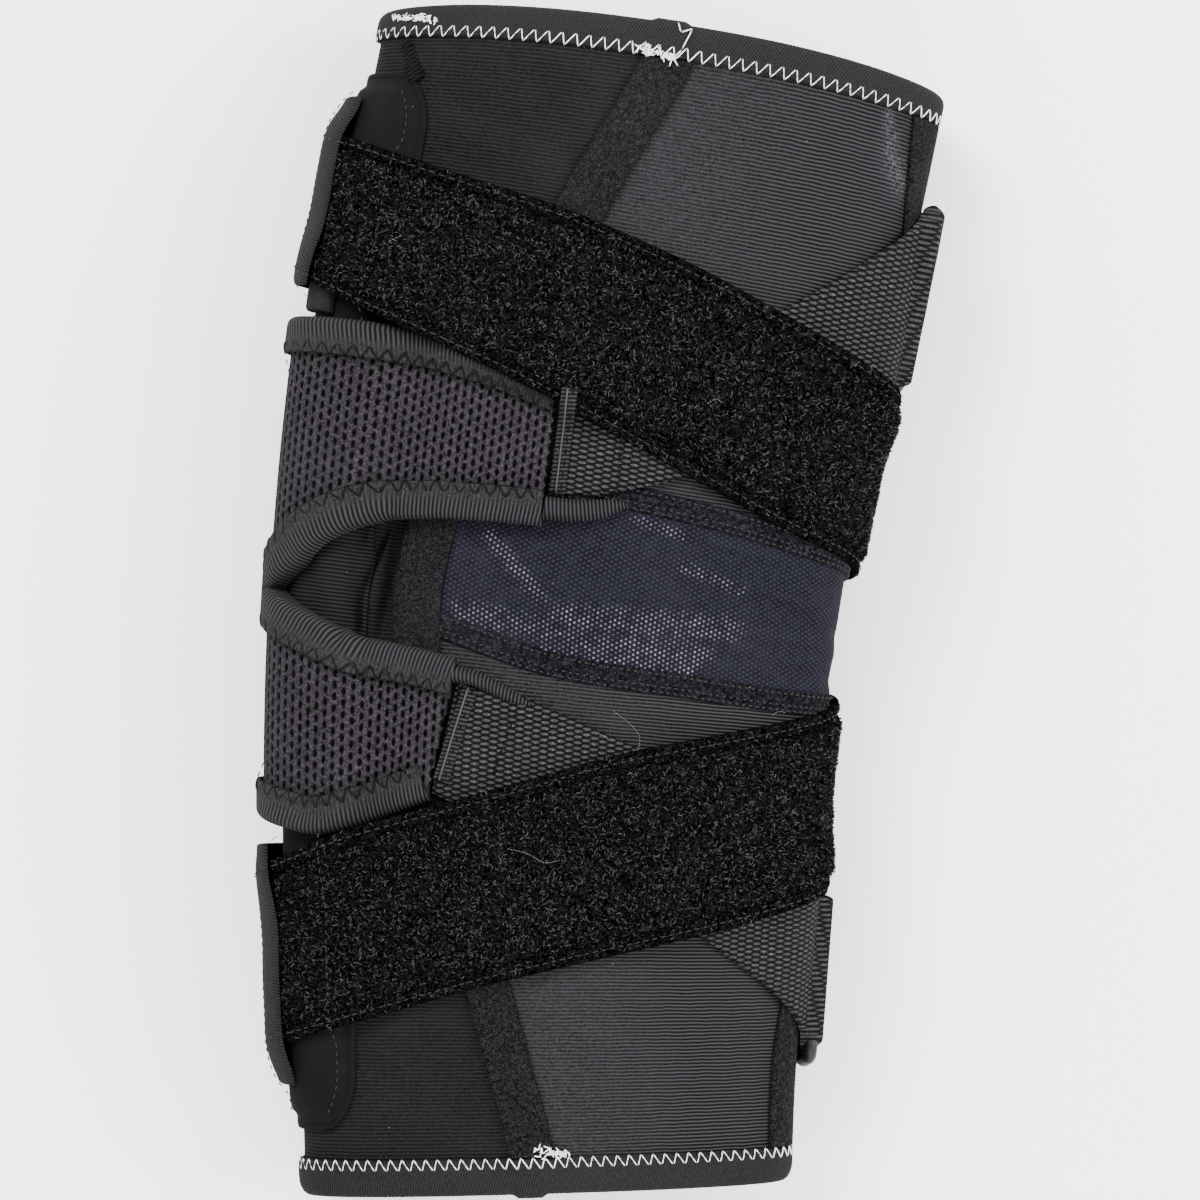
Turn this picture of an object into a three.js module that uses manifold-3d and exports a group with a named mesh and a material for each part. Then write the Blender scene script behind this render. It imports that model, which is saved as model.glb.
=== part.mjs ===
// Knee support with patella opening: a long sleeve lying with its patella side down, wrapped by a
// spacer mesh frame and two wide fleece straps. Millimetres, +Y toward the thigh end, +Z up.
import * as THREE from 'three';
import Module from 'manifold-3d';

// Sleeve
const LENGTH = 331.7;          // hem edge to hem edge along the middle
const BEND = 9.3;              // bow of the whole sleeve toward its front edge
const THIGH_BOW = 7;           // rise of the thigh hem over the crown
const WALL = 3;                // knitted face, foam and lining together
const CROWN = 2.3;             // roundness of the upper half of a section
const BELLY = 3.4;             // roundness of the lower half, flatter where it rests
const GAP = 0.4;               // clearance between two edges that meet
const OVER = 0.6;              // clearance between two layers that lie on each other
const SECTIONS = [
  { width: 141.0, depth: 50, tilt: 7.7 },    // calf hem
  { width: 147.0, depth: 56, tilt: 4.3 },    // calf
  { width: 153.5, depth: 62, tilt: -1.1 },   // knee
  { width: 160.0, depth: 63, tilt: -4.3 },   // thigh
  { width: 163.7, depth: 58, tilt: -2.6 },   // thigh hem
];
const LIFT = [1.7, 5.2, 6.6, 6.6, 6.6, 6.6, 6.6, 5.2, 1.7];   // underside above the table, calf hem first
const GIRTH = 370;             // round the knee section, turns shares of girth into millimetres

// Places on the sleeve: girth share 0 is the left fold, 0.25 the crown, 0.5 the right fold and
// 0.75 the underside; length share 0 is the calf hem and 1 the thigh hem.
const SEAM_LEFT = [0.243, 0.214, 0.178, 0.143, 0.125, 0.146, 0.183, 0.222, 0.262];
const SEAM_RIGHT = [0.474, 0.475, 0.500, 0.540, 0.560, 0.548, 0.520, 0.490, 0.470];
const POPLITEAL_LOW = [0.475, 0.450, 0.443, 0.438, 0.440];
const POPLITEAL_HIGH = [0.606, 0.612, 0.606, 0.590, 0.572];

// Hems, tapes and stay pockets
const HEM = { wide: 8.6, skin: 1.5 };
const TAPE = { wide: 14.5, thick: 1.2, over: 0.8 };
const POCKET = { from: 0.052, to: 0.942, wide: 37, rim: 5, rimThick: 1.2, round: 17 };
const POCKET_LEFT = { middle: 0.034, height: [3.4, 4.6, 6.8, 5.8, 3.4] };
const POCKET_RIGHT = { middle: 0.636, height: [2.4, 2.8, 4.4, 2.8, 2.4] };

// Patella frame of spacer mesh, with its opening, notch and two arms
const FRAME_THICK = 4.4;
const FRAME_ENDS = { front: -0.285, arm: 0.2180 };
const FRAME_HIGH = [[-0.285, 0.590], [-0.273, 0.630], [-0.245, 0.672], [-0.180, 0.700], [-0.080, 0.708],
  [0.000, 0.709], [0.069, 0.714], [0.119, 0.714], [0.170, 0.698], [0.218, 0.673]];
const FRAME_LOW = [[-0.285, 0.410], [-0.273, 0.370], [-0.245, 0.333], [-0.180, 0.315], [-0.080, 0.314],
  [0.000, 0.316], [0.066, 0.303], [0.102, 0.317], [0.145, 0.338], [0.218, 0.338]];
const NOTCH_HIGH = [[-0.004, 0.496], [0.012, 0.512], [0.040, 0.540], [0.068, 0.562], [0.102, 0.576],
  [0.143, 0.582], [0.180, 0.579], [0.2175, 0.578]];
const NOTCH_LOW = [[-0.004, 0.496], [0.014, 0.478], [0.050, 0.462], [0.086, 0.453], [0.130, 0.452],
  [0.1625, 0.447]];
const LOWER_ARM_END = [[0.1625, 0.447], [0.147, 0.338]];
const OPENING = { middle: [-0.158, 0.500], radius: 30, step: 2, sides: 28 };
const SHELL_CUT = [9, 1, -1, -3, -5, -11];      // heights of the cutter's rings through the sleeve
const FRAME_CUT = [16, 7, 5, 3, 0.6, -8];       // and through the frame
const BINDING = { wide: 8.4, skin: 1.4, over: 0.8, off: 0.5 };
const GUSSET = { from: -0.012, to: 0.040, low: 0.722, high: 0.750, thick: 2.2 };

// Elastic webbings from the arms to the rings at the right fold, edges from arm to ring
const WEB_THICK = 1.9;
const WEB_UPPER = {
  high: [[0.2205, 0.672], [0.260, 0.700], [0.300, 0.730], [0.378, 0.793], [0.428, 0.838], [0.500, 0.888]],
  low: [[0.2205, 0.600], [0.260, 0.606], [0.300, 0.622], [0.372, 0.660], [0.440, 0.708], [0.520, 0.760]],
};
const WEB_LOWER = {
  high: [[0.1665, 0.443], [0.226, 0.423], [0.315, 0.389], [0.380, 0.350], [0.450, 0.298], [0.520, 0.248]],
  low: [[0.1490, 0.338], [0.210, 0.312], [0.290, 0.272], [0.375, 0.224], [0.440, 0.176], [0.500, 0.112]],
};
// Rings, a webbing on one long bar and a strap on the other
const RING = { long: 54, wide: 13, bar: 1.9, corner: 4, loop: 6.6, loopLong: 7 };
const RING_UPPER = { middle: [0.520, 0.826], tilt: -12 };
const RING_LOWER = { middle: [0.528, 0.178], tilt: 12 };

// Fleece straps, edges as length shares along the girth from the plain end round to the ring
const STRAP_THICK = 2.4;
const STRAP_SETTLE = { from: 24, over: 16 };    // where a strap leaves its ring and lies on all below
const STRAP_PLAIN_END = 0.615;
const STRAP_UPPER = {
  high: [[-0.470, 0.898], [-0.350, 0.920], [-0.220, 0.935], [-0.100, 0.915], [0.000, 0.886], [0.100, 0.861],
    [0.200, 0.844], [0.300, 0.818], [0.400, 0.781], [0.500, 0.740], [0.560, 0.718], [0.620, 0.702]],
  low: [[-0.470, 0.752], [-0.350, 0.768], [-0.220, 0.780], [-0.100, 0.775], [0.000, 0.756], [0.100, 0.720],
    [0.200, 0.687], [0.300, 0.646], [0.400, 0.604], [0.500, 0.574], [0.560, 0.560], [0.620, 0.550]],
};
const STRAP_LOWER = {
  high: [[-0.470, 0.250], [-0.350, 0.232], [-0.220, 0.222], [-0.100, 0.238], [0.000, 0.262], [0.100, 0.310],
    [0.200, 0.345], [0.300, 0.385], [0.400, 0.415], [0.500, 0.447], [0.560, 0.460], [0.620, 0.468]],
  low: [[-0.470, 0.104], [-0.350, 0.080], [-0.220, 0.066], [-0.100, 0.084], [0.000, 0.118], [0.100, 0.148],
    [0.200, 0.178], [0.300, 0.203], [0.400, 0.230], [0.500, 0.266], [0.560, 0.285], [0.620, 0.297]],
};
const KEEPER = { thick: 1.4, from: -0.052, to: 0.030 };
const KEEPER_UPPER = [0.742, 0.918];
const KEEPER_LOWER = [0.090, 0.288];

const CLOTH = {
  jersey: 0x3a3a3e, popliteal: 0x333342, tape: 0x2c2c2f, binding: 0x38383b, cover: 0x28282b,
  mesh: 0x474140, webbing: 0x5a5a5c, fleece: 0x232325, plastic: 0x141415,
};

const clamp = (x, low, high) => Math.min(high, Math.max(low, x));
const mix = (a, b, f) => a + (b - a) * f;
const wrap = (g) => g - Math.floor(g);

// Smooth value through a row of evenly spaced values
function through(row, share) {
  const x = clamp(share, 0, 1) * (row.length - 1);
  const i = Math.min(Math.floor(x), row.length - 2);
  const f = x - i;
  const at = (k) => row[clamp(k, 0, row.length - 1)];
  const [a, b, c, d] = [at(i - 1), at(i), at(i + 1), at(i + 2)];
  return b + 0.5 * f * (c - a + f * (2 * a - 5 * b + 4 * c - d + f * (3 * (b - c) + d - a)));
}

// Height of a polyline of [girth, length] points at one girth share
function edgeAt(line, g) {
  let i = 1;
  while (i < line.length - 1 && line[i][0] < g) i += 1;
  const [a, b] = [line[i - 1], line[i]];
  return mix(a[1], b[1], clamp((g - a[0]) / (b[0] - a[0]), 0, 1));
}

// Point at a share of the drawn length of a polyline
function walk(line, share) {
  const steps = line.slice(1).map((p, i) => (
    Math.hypot((p[0] - line[i][0]) * GIRTH, (p[1] - line[i][1]) * LENGTH)));
  let left = share * steps.reduce((a, b) => a + b, 0);
  let i = 0;
  while (i < steps.length - 1 && left > steps[i]) {
    left -= steps[i];
    i += 1;
  }
  const f = clamp(left / steps[i], 0, 1);
  return [mix(line[i][0], line[i + 1][0], f), mix(line[i][1], line[i + 1][1], f)];
}

// Angle round a section for each share of girth, even in arc length for the knee section
function evenTurns() {
  const knee = SECTIONS[2];
  const table = [];
  for (const [from, power] of [[0, CROWN], [Math.PI, BELLY]]) {
    const arc = [0];
    const count = 600;
    let last = null;
    for (let i = 0; i <= count; i += 1) {
      const a = Math.PI * i / count;
      const x = -0.5 * knee.width * Math.sign(Math.cos(a)) * Math.abs(Math.cos(a)) ** (2 / power);
      const y = 0.5 * knee.depth * Math.abs(Math.sin(a)) ** (2 / power);
      if (last) arc.push(arc[i - 1] + Math.hypot(x - last[0], y - last[1]));
      last = [x, y];
    }
    let k = 0;
    for (let i = 0; i < 250; i += 1) {
      const want = arc[count] * i / 250;
      while (arc[k + 1] < want) k += 1;
      table.push(from + Math.PI * (k + (want - arc[k]) / (arc[k + 1] - arc[k])) / count);
    }
  }
  table.push(2 * Math.PI);
  return table;
}
const TURNS = evenTurns();

const column = (name) => SECTIONS.map((row) => row[name]);
const COLUMNS = { width: column('width'), depth: column('depth'), tilt: column('tilt') };

// Point on the sleeve at girth share g, length share t and h millimetres outward of its face
function spot(g, t, h) {
  const x = wrap(g) * 500;
  const i = Math.min(Math.floor(x), 499);
  const turn = mix(TURNS[i], TURNS[i + 1], x - i);
  const power = turn < Math.PI ? CROWN : BELLY;
  const half = through(COLUMNS.width, t) / 2;
  const rise = through(COLUMNS.depth, t) / 2;
  const tilt = THREE.MathUtils.degToRad(through(COLUMNS.tilt, t));
  const [c, s] = [Math.cos(turn), Math.sin(turn)];
  const across = -Math.sign(c) * Math.abs(c) ** (2 / power);
  const up = Math.sign(s) * Math.abs(s) ** (2 / power);
  const normal = new THREE.Vector2(Math.sign(across) * Math.abs(across) ** (power - 1) / half,
    Math.sign(up) * Math.abs(up) ** (power - 1) / rise).normalize();
  const u = half * across + normal.x * h;
  const z = rise * (1 + up) + normal.y * h + through(LIFT, t);
  const bow = THIGH_BOW * Math.max(0, (t - 0.75) / 0.25) ** 2 * Math.max(0, up) ** 2;
  return new THREE.Vector3(
    -BEND * 4 * t * (1 - t) + u * Math.cos(tilt) - bow * Math.sin(tilt),
    (t - 0.5) * LENGTH + u * Math.sin(tilt) + bow * Math.cos(tilt),
    z);
}

// Height of everything laid on the sleeve so far, on a grid of girth and length
const FIELD = { g: 260, t: 130 };
const laid = new Float64Array(FIELD.g * FIELD.t);
const cell = (i, k) => ((i % FIELD.g) + FIELD.g) % FIELD.g + FIELD.g * clamp(k, 0, FIELD.t - 1);

function lay(rows) {
  for (let i = 0; i + 1 < rows.length; i += 1) {
    for (let k = 0; k + 1 < rows[i].length; k += 1) {
      const corners = [rows[i][k], rows[i][k + 1], rows[i + 1][k], rows[i + 1][k + 1]];
      const top = Math.max(...corners.map((p) => p.top));
      for (let a = 0; a <= 8; a += 1) {
        for (let b = 0; b <= 8; b += 1) {
          const at = (key) => mix(mix(corners[0][key], corners[1][key], b / 8),
            mix(corners[2][key], corners[3][key], b / 8), a / 8);
          const spotG = Math.floor(at('g') * FIELD.g);
          const spotT = Math.floor(at('t') * FIELD.t);
          for (let m = -1; m <= 1; m += 1) {
            const n = cell(spotG + m, spotT);
            laid[n] = Math.max(laid[n], mix(at('top'), top, 0.5));
          }
        }
      }
    }
  }
}

// Surface a piece can lie on: the laid heights, spread by reach millimetres and softened
function drape(reach) {
  const [ng, nt] = [Math.ceil(reach * FIELD.g / GIRTH), Math.ceil(reach * FIELD.t / LENGTH)];
  const pass = (from, step, span, gather) => {
    const out = new Float64Array(from.length);
    for (let k = 0; k < FIELD.t; k += 1) {
      for (let i = 0; i < FIELD.g; i += 1) {
        const near = [];
        for (let m = -span; m <= span; m += 1) {
          near.push(from[step ? cell(i, k + m) : cell(i + m, k)]);
        }
        out[cell(i, k)] = gather(near);
      }
    }
    return out;
  };
  const most = (near) => Math.max(...near);
  const mean = (near) => near.reduce((a, b) => a + b, 0) / near.length;
  let map = pass(pass(laid, 0, ng, most), 1, nt, most);
  map = pass(pass(map, 0, Math.max(1, ng - 1), mean), 1, Math.max(1, nt - 1), mean);
  return (g, t) => {
    const [x, y] = [wrap(g) * FIELD.g - 0.5, clamp(t * FIELD.t - 0.5, 0, FIELD.t - 1)];
    const [i, k] = [Math.floor(x), Math.floor(y)];
    return mix(mix(map[cell(i, k)], map[cell(i + 1, k)], x - i),
      mix(map[cell(i, k + 1)], map[cell(i + 1, k + 1)], x - i), y - k);
  };
}

function geometry(points, faces) {
  const shape = new THREE.BufferGeometry();
  shape.setAttribute('position', new THREE.Float32BufferAttribute(points.flatMap((p) => [p.x, p.y, p.z]), 3));
  shape.setIndex(faces.flat());
  return shape;
}

// What touches the table is pressed flat on it, down to the thinnest the cloth gets
const PRESSED = 0.8;
const flattened = (p, z) => p.setZ(Math.max(p.z, z));
const outer = (g, t, h, table = 0) => flattened(spot(g, t, h), table);
const inner = (g, t, h, table = 0) => flattened(spot(g, t, h), table + PRESSED);

// Sheet between two heights over rows of {g, t, low, top}; rows run along +g and columns along +t
function sheet(rows, table = 0) {
  const [n, m] = [rows.length, rows[0].length];
  const places = rows.flat();
  const points = [
    ...places.map((p) => outer(p.g, p.t, p.top, table)),
    ...places.map((p) => inner(p.g, p.t, p.low, table)),
  ];
  const id = (i, k, side) => i * m + k + side * n * m;
  const faces = [];
  const quad = (a, b, c, d) => faces.push([a, b, c], [a, c, d]);
  for (let i = 0; i + 1 < n; i += 1) {
    for (let k = 0; k + 1 < m; k += 1) {
      quad(id(i, k, 0), id(i + 1, k, 0), id(i + 1, k + 1, 0), id(i, k + 1, 0));
      quad(id(i, k, 1), id(i, k + 1, 1), id(i + 1, k + 1, 1), id(i + 1, k, 1));
    }
    quad(id(i, 0, 0), id(i, 0, 1), id(i + 1, 0, 1), id(i + 1, 0, 0));
    quad(id(i, m - 1, 0), id(i + 1, m - 1, 0), id(i + 1, m - 1, 1), id(i, m - 1, 1));
  }
  for (let k = 0; k + 1 < m; k += 1) {
    quad(id(0, k, 0), id(0, k + 1, 0), id(0, k + 1, 1), id(0, k, 1));
    quad(id(n - 1, k, 0), id(n - 1, k, 1), id(n - 1, k + 1, 1), id(n - 1, k + 1, 0));
  }
  return geometry(points, faces);
}

// Profile swept along stations; closed into a ring unless cap gives the triangles of its two ends
function sweep(stations, count, place, cap) {
  const points = [];
  for (let i = 0; i < stations; i += 1) {
    for (let k = 0; k < count; k += 1) points.push(place(i, k));
  }
  const faces = [];
  const id = (i, k) => (i % stations) * count + (k % count);
  for (let i = 0; i < (cap ? stations - 1 : stations); i += 1) {
    for (let k = 0; k < count; k += 1) {
      faces.push([id(i, k), id(i + 1, k), id(i + 1, k + 1)], [id(i, k), id(i + 1, k + 1), id(i, k + 1)]);
    }
  }
  for (const [a, b, c] of cap ?? []) {
    faces.push([id(0, a), id(0, b), id(0, c)]);
    faces.push([id(stations - 1, c), id(stations - 1, b), id(stations - 1, a)]);
  }
  return geometry(points, faces);
}

// Girth lines closer together at the two folds, so that layers bend alike
const GIRTH_LINES = 44;
function girthLines(from, to) {
  const lines = [from];
  for (let turn = -1; turn <= 1; turn += 1) {
    for (let k = 0; k < GIRTH_LINES; k += 1) {
      const even = k / GIRTH_LINES;
      const g = turn + even - 0.036 * Math.sin(4 * Math.PI * even);
      if (g > from + 0.006 && g < to - 0.006) lines.push(g);
    }
  }
  lines.push(to);
  return lines;
}

const shares = (from, to, count) => Array.from({ length: count + 1 }, (_, i) => mix(from, to, i / count));

const wasm = await Module();
wasm.setup();

function solid(shape) {
  const mesh = new wasm.Mesh({
    numProp: 3,
    vertProperties: new Float32Array(shape.attributes.position.array),
    triVerts: new Uint32Array(shape.index.array),
  });
  return new wasm.Manifold(mesh);
}

function fromSolid(body) {
  const mesh = body.getMesh();
  const shape = new THREE.BufferGeometry();
  shape.setAttribute('position', new THREE.Float32BufferAttribute(mesh.vertProperties, 3));
  shape.setIndex(Array.from(mesh.triVerts));
  return shape;
}

// Cutter through the sleeve over a closed outline of [girth, length] points, walled square to the face
function cutter(outline, heights) {
  const n = outline.length;
  const points = heights.flatMap((h) => outline.map((p) => spot(p[0], p[1], h)));
  const last = n * (heights.length - 1);
  const faces = [];
  const plan = outline.map((p) => new THREE.Vector2(p[0] * GIRTH, p[1] * LENGTH));
  for (const [a, b, c] of THREE.ShapeUtils.triangulateShape(plan, [])) {
    faces.push([a, b, c], [a + last, c + last, b + last]);
  }
  for (let i = 0; i < last; i += n) {
    for (let k = 0; k < n; k += 1) {
      const next = (k + 1) % n;
      faces.push([i + k, i + n + k, i + n + next], [i + k, i + n + next, i + next]);
    }
  }
  return solid(geometry(points, faces));
}

const group = new THREE.Group();
group.name = 'knee_support';

function add(name, shape, colour) {
  const material = new THREE.MeshStandardMaterial({ color: colour, roughness: 0.9 });
  material.name = name;
  const mesh = new THREE.Mesh(shape, material);
  mesh.name = name;
  group.add(mesh);
  return mesh;
}

// Sleeve panels, butted at the seams under the tapes
const SEAM_CLEAR = GAP / 2 / GIRTH;
const PANEL_ENDS = [1.6 / LENGTH, 1 - 1.6 / LENGTH];
const PANEL_ROWS = 11;
const seamThrough = (row) => (t) => {
  const x = clamp((t - PANEL_ENDS[0]) / (PANEL_ENDS[1] - PANEL_ENDS[0]), 0, 1) * PANEL_ROWS;
  const i = Math.min(Math.floor(x), PANEL_ROWS - 1);
  const at = (k) => through(row, mix(...PANEL_ENDS, k / PANEL_ROWS));
  return mix(at(i), at(i + 1), x - i);
};
const leftSeam = seamThrough(SEAM_LEFT);
const rightSeam = seamThrough(SEAM_RIGHT);

function openingOutline(radius, count) {
  return Array.from({ length: count }, (_, i) => {
    const a = 2 * Math.PI * i / count;
    const [g, t] = OPENING.middle;
    return [g + radius * Math.cos(a) / GIRTH, t + radius * Math.sin(a) / LENGTH];
  });
}

{
  const fixed = girthLines(-0.42, 0.10);
  const rows = [];
  const [right, left] = [6, 3];
  const count = fixed.length + right + left;
  for (let i = 0; i < count; i += 1) {
    rows.push(shares(...PANEL_ENDS, PANEL_ROWS).map((t) => {
      const [from, to] = [rightSeam(t) - 1 + SEAM_CLEAR, leftSeam(t) - SEAM_CLEAR];
      let g;
      if (i < right) g = mix(from, fixed[0], i / right);
      else if (i < count - left) g = fixed[i - right];
      else g = mix(fixed[fixed.length - 1], to, (i - count + left + 1) / left);
      return { g, t, low: -WALL, top: 0 };
    }));
  }
  const hole = cutter(openingOutline(OPENING.radius - OPENING.step, OPENING.sides), SHELL_CUT);
  const shell = solid(sheet(rows)).subtract(hole);
  add('front_shell', fromSolid(shell), CLOTH.jersey);
}

function rearPanel(name, lowAt, highAt, count, colour) {
  const columns = [0, 0.09, 0.18, 0.29, 0.40, 0.51, 0.62, 0.72, 0.80, 0.87, 0.92, 0.96, 1];
  const rows = columns.map((f) => shares(0, 1, count).map((r) => {
    const t = mix(lowAt(f), highAt(f), r);
    const g = mix(leftSeam(t) + SEAM_CLEAR, rightSeam(t) - SEAM_CLEAR, f);
    return { g, t, low: -WALL, top: 0 };
  }));
  add(name, sheet(rows), colour);
}
const CLEAR_T = GAP / 2 / LENGTH;
rearPanel('rear_panel_upper', (f) => through(POPLITEAL_HIGH, f) + CLEAR_T, () => PANEL_ENDS[1], 5,
  CLOTH.jersey);
rearPanel('popliteal_panel', (f) => through(POPLITEAL_LOW, f) + CLEAR_T,
  (f) => through(POPLITEAL_HIGH, f) - CLEAR_T, 3, CLOTH.popliteal);
rearPanel('rear_panel_lower', () => PANEL_ENDS[0], (f) => through(POPLITEAL_LOW, f) - CLEAR_T, 5,
  CLOTH.jersey);

// Hem bindings folded over the sleeve edges
function hem(name, edge, inward) {
  const profile = [
    [0, -WALL - GAP - HEM.skin], [0, HEM.skin + GAP], [HEM.wide, HEM.skin + GAP], [HEM.wide, GAP],
    [1.6 - GAP, GAP], [1.6 - GAP, -WALL - GAP], [HEM.wide, -WALL - GAP], [HEM.wide, -WALL - GAP - HEM.skin],
  ];
  const lines = girthLines(0, 1).slice(0, -1);
  const place = (i, k) => {
    const [side, h] = profile[inward > 0 ? k : profile.length - 1 - k];
    const g = lines[i];
    return (h > OVER ? outer : inner)(g, edge + inward * side / LENGTH, h);
  };
  add(name, sweep(lines.length, profile.length, place), CLOTH.binding);
  lay([...lines, 1].map((g) => [0, 1].map((f) => (
    { g, t: edge + inward * f * HEM.wide / LENGTH, top: HEM.skin + GAP }))));
}
hem('hem_bottom', 0, 1);
hem('hem_top', 1, -1);
const HEM_CLEAR = (HEM.wide + GAP) / LENGTH;

// Loop pile tapes over the two long seams
function tape(name, seam) {
  const rows = [-0.5, 0, 0.5].map((side) => shares(HEM_CLEAR, 1 - HEM_CLEAR, 22).map((t) => (
    { g: seam(t) + side * TAPE.wide / GIRTH, t, low: TAPE.over, top: TAPE.over + TAPE.thick })));
  add(name, sheet(rows), CLOTH.tape);
  lay(rows);
}
tape('seam_tape_left', leftSeam);
tape('seam_tape_right', rightSeam);

// Stay pockets: a soft cover domed over the stay inside, with a thin sewn rim and rounded ends
function pocket(name, spec) {
  const rest = drape(2);
  const long = (POCKET.to - POCKET.from) * LENGTH;
  const columns = [-1, 2 * POCKET.rim / POCKET.wide - 1, -0.42, 0, 0.42, 1 - 2 * POCKET.rim / POCKET.wide, 1];
  const along = [0, 2, 7, POCKET.round, ...shares(38, long - 38, 9), long - POCKET.round, long - 7,
    long - 2, long];
  const rows = columns.map((side) => along.map((d) => {
    const end = Math.min(d, long - d);
    const narrow = end < POCKET.round ? Math.sqrt(1 - (1 - end / POCKET.round) ** 2) : 1;
    const g = spec.middle + side * mix(0.35, 1, narrow) * POCKET.wide / 2 / GIRTH;
    const t = POCKET.from + d / LENGTH;
    const low = rest(g, t) + OVER;
    const dome = Math.abs(side) > 0.9 ? 0 : clamp(end / 14, 0, 1);
    return { g, t, low, top: low + mix(POCKET.rimThick, through(spec.height, t), dome) };
  }));
  add(name, sheet(rows), CLOTH.cover);
  lay(rows);
}
pocket('stay_pocket_left', POCKET_LEFT);
pocket('stay_pocket_right', POCKET_RIGHT);

// Spacer mesh frame
const frameRest = drape(7);
const frameLow = (g, t) => frameRest(g, t) + OVER;
const frameTop = (g, t) => frameLow(g, t) + FRAME_THICK;
const APEX = NOTCH_HIGH[0];
const frameLines = girthLines(FRAME_ENDS.front, APEX[0]);
const armLines = girthLines(APEX[0], FRAME_ENDS.arm);
const armShares = armLines.map((g) => (g - APEX[0]) / (FRAME_ENDS.arm - APEX[0]));
const onEdge = (line, g) => [g, edgeAt(line, g)];
const along = (line, end) => armShares.map((f) => onEdge(line, mix(APEX[0], end, f)));
const EDGES = {
  low: frameLines.map((g) => onEdge(FRAME_LOW, g)), high: frameLines.map((g) => onEdge(FRAME_HIGH, g)),
  armLow: along(FRAME_LOW, LOWER_ARM_END[1][0]), armNotchLow: along(NOTCH_LOW, LOWER_ARM_END[0][0]),
  armNotchHigh: along(NOTCH_HIGH, FRAME_ENDS.arm), armHigh: along(FRAME_HIGH, FRAME_ENDS.arm),
};
const between = (low, high, from, to, count) => low.map((a, i) => shares(from, to, count).map((f) => {
  const [g, t] = [mix(a[0], high[i][0], f), mix(a[1], high[i][1], f)];
  return { g, t, low: frameLow(g, t), top: frameTop(g, t) };
}));
const frameBody = frameLines.map((g, i) => {
  const middle = mix(0.5, APEX[1], clamp((g - FRAME_ENDS.front) / 0.1, 0, 1));
  const [low, high] = [EDGES.low[i][1], EDGES.high[i][1]];
  return [...shares(low, middle, 5).slice(0, -1), ...shares(middle, high, 5)]
    .map((t) => ({ g, t, low: frameLow(g, t), top: frameTop(g, t) }));
});
const lowerArm = between(EDGES.armLow, EDGES.armNotchLow, 0, 1, 5);
const upperArm = between(EDGES.armNotchHigh, EDGES.armHigh, 0, 1, 5);
const FRAME_TABLE = 1.7;       // room under the frame for its bindings
add('patella_frame', fromSolid(solid(sheet(frameBody, FRAME_TABLE))
  .subtract(cutter(openingOutline(OPENING.radius, OPENING.sides), FRAME_CUT))
  .add(solid(sheet(lowerArm, FRAME_TABLE))).add(solid(sheet(upperArm, FRAME_TABLE)))), CLOTH.mesh);

// Binding folded over an edge of the frame: side wall and top flange in one piece
const FLANGE_CAP = [[0, 1, 6], [0, 6, 7], [1, 2, 5], [1, 5, 6], [2, 3, 4], [2, 4, 5]];
function binding(name, line, inward, closed) {
  const { wide, skin, over, off } = BINDING;
  const profile = [[-skin - off, 0], [-skin - off, 2], [wide / 2, 2], [wide, 2], [wide, 1], [wide / 2, 1],
    [-off, 1], [-off, 0]];
  const around = line.map((middle, i) => {
    const n = line.length;
    const near = (k) => line[closed ? (k + n) % n : clamp(k, 0, n - 1)];
    const [a, b] = [near(i - 1), near(i + 1)];
    const run = new THREE.Vector2((b[0] - a[0]) * GIRTH, (b[1] - a[1]) * LENGTH).normalize();
    const turn = new THREE.Vector2(-run.y, run.x).multiplyScalar(inward);
    return profile.map(([side, level]) => {
      const g = middle[0] + turn.x * side / GIRTH;
      const t = middle[1] + turn.y * side / LENGTH;
      const h = [frameLow(g, t), frameTop(g, t) + over, frameTop(g, t) + over + skin][level];
      return { g, t, h };
    });
  });
  const order = inward > 0 ? (k) => k : (k) => profile.length - 1 - k;
  const place = (i, k) => {
    const p = around[i][order(k)];
    return (order(k) >= 1 && order(k) <= 3 ? outer : inner)(p.g, p.t, p.h);
  };
  add(name, sweep(line.length, profile.length, place, closed ? null : FLANGE_CAP), CLOTH.binding);
  const tops = around.map((ring) => [1, 3].map((k) => ({ g: ring[k].g, t: ring[k].t, top: ring[k].h })));
  if (closed) tops.push(tops[0]);
  lay(tops);
}
const gusset = () => {
  const rest = drape(2);
  const rows = shares(GUSSET.from, GUSSET.to, 4).map((g) => shares(GUSSET.low, GUSSET.high, 3).map((t) => (
    { g, t, low: rest(g, t) + OVER, top: rest(g, t) + OVER + GUSSET.thick })));
  add('frame_gusset', sheet(rows), CLOTH.binding);
  return rows;
};
const gussetRows = gusset();

const webRest = drape(7);

// Webbings and rings
const ringAt = (ring, a, b) => {
  const tilt = THREE.MathUtils.degToRad(ring.tilt);
  return [ring.middle[0] + (a * Math.cos(tilt) + b * Math.sin(tilt)) / GIRTH,
    ring.middle[1] + (b * Math.cos(tilt) - a * Math.sin(tilt)) / LENGTH];
};

// Girth share of a line along the ring, a millimetres to its side, at one length share
function ringSide(ring, a, t) {
  const tilt = THREE.MathUtils.degToRad(ring.tilt);
  return ring.middle[0] + a / Math.cos(tilt) / GIRTH + (t - ring.middle[1]) * LENGTH * Math.tan(tilt) / GIRTH;
}

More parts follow.
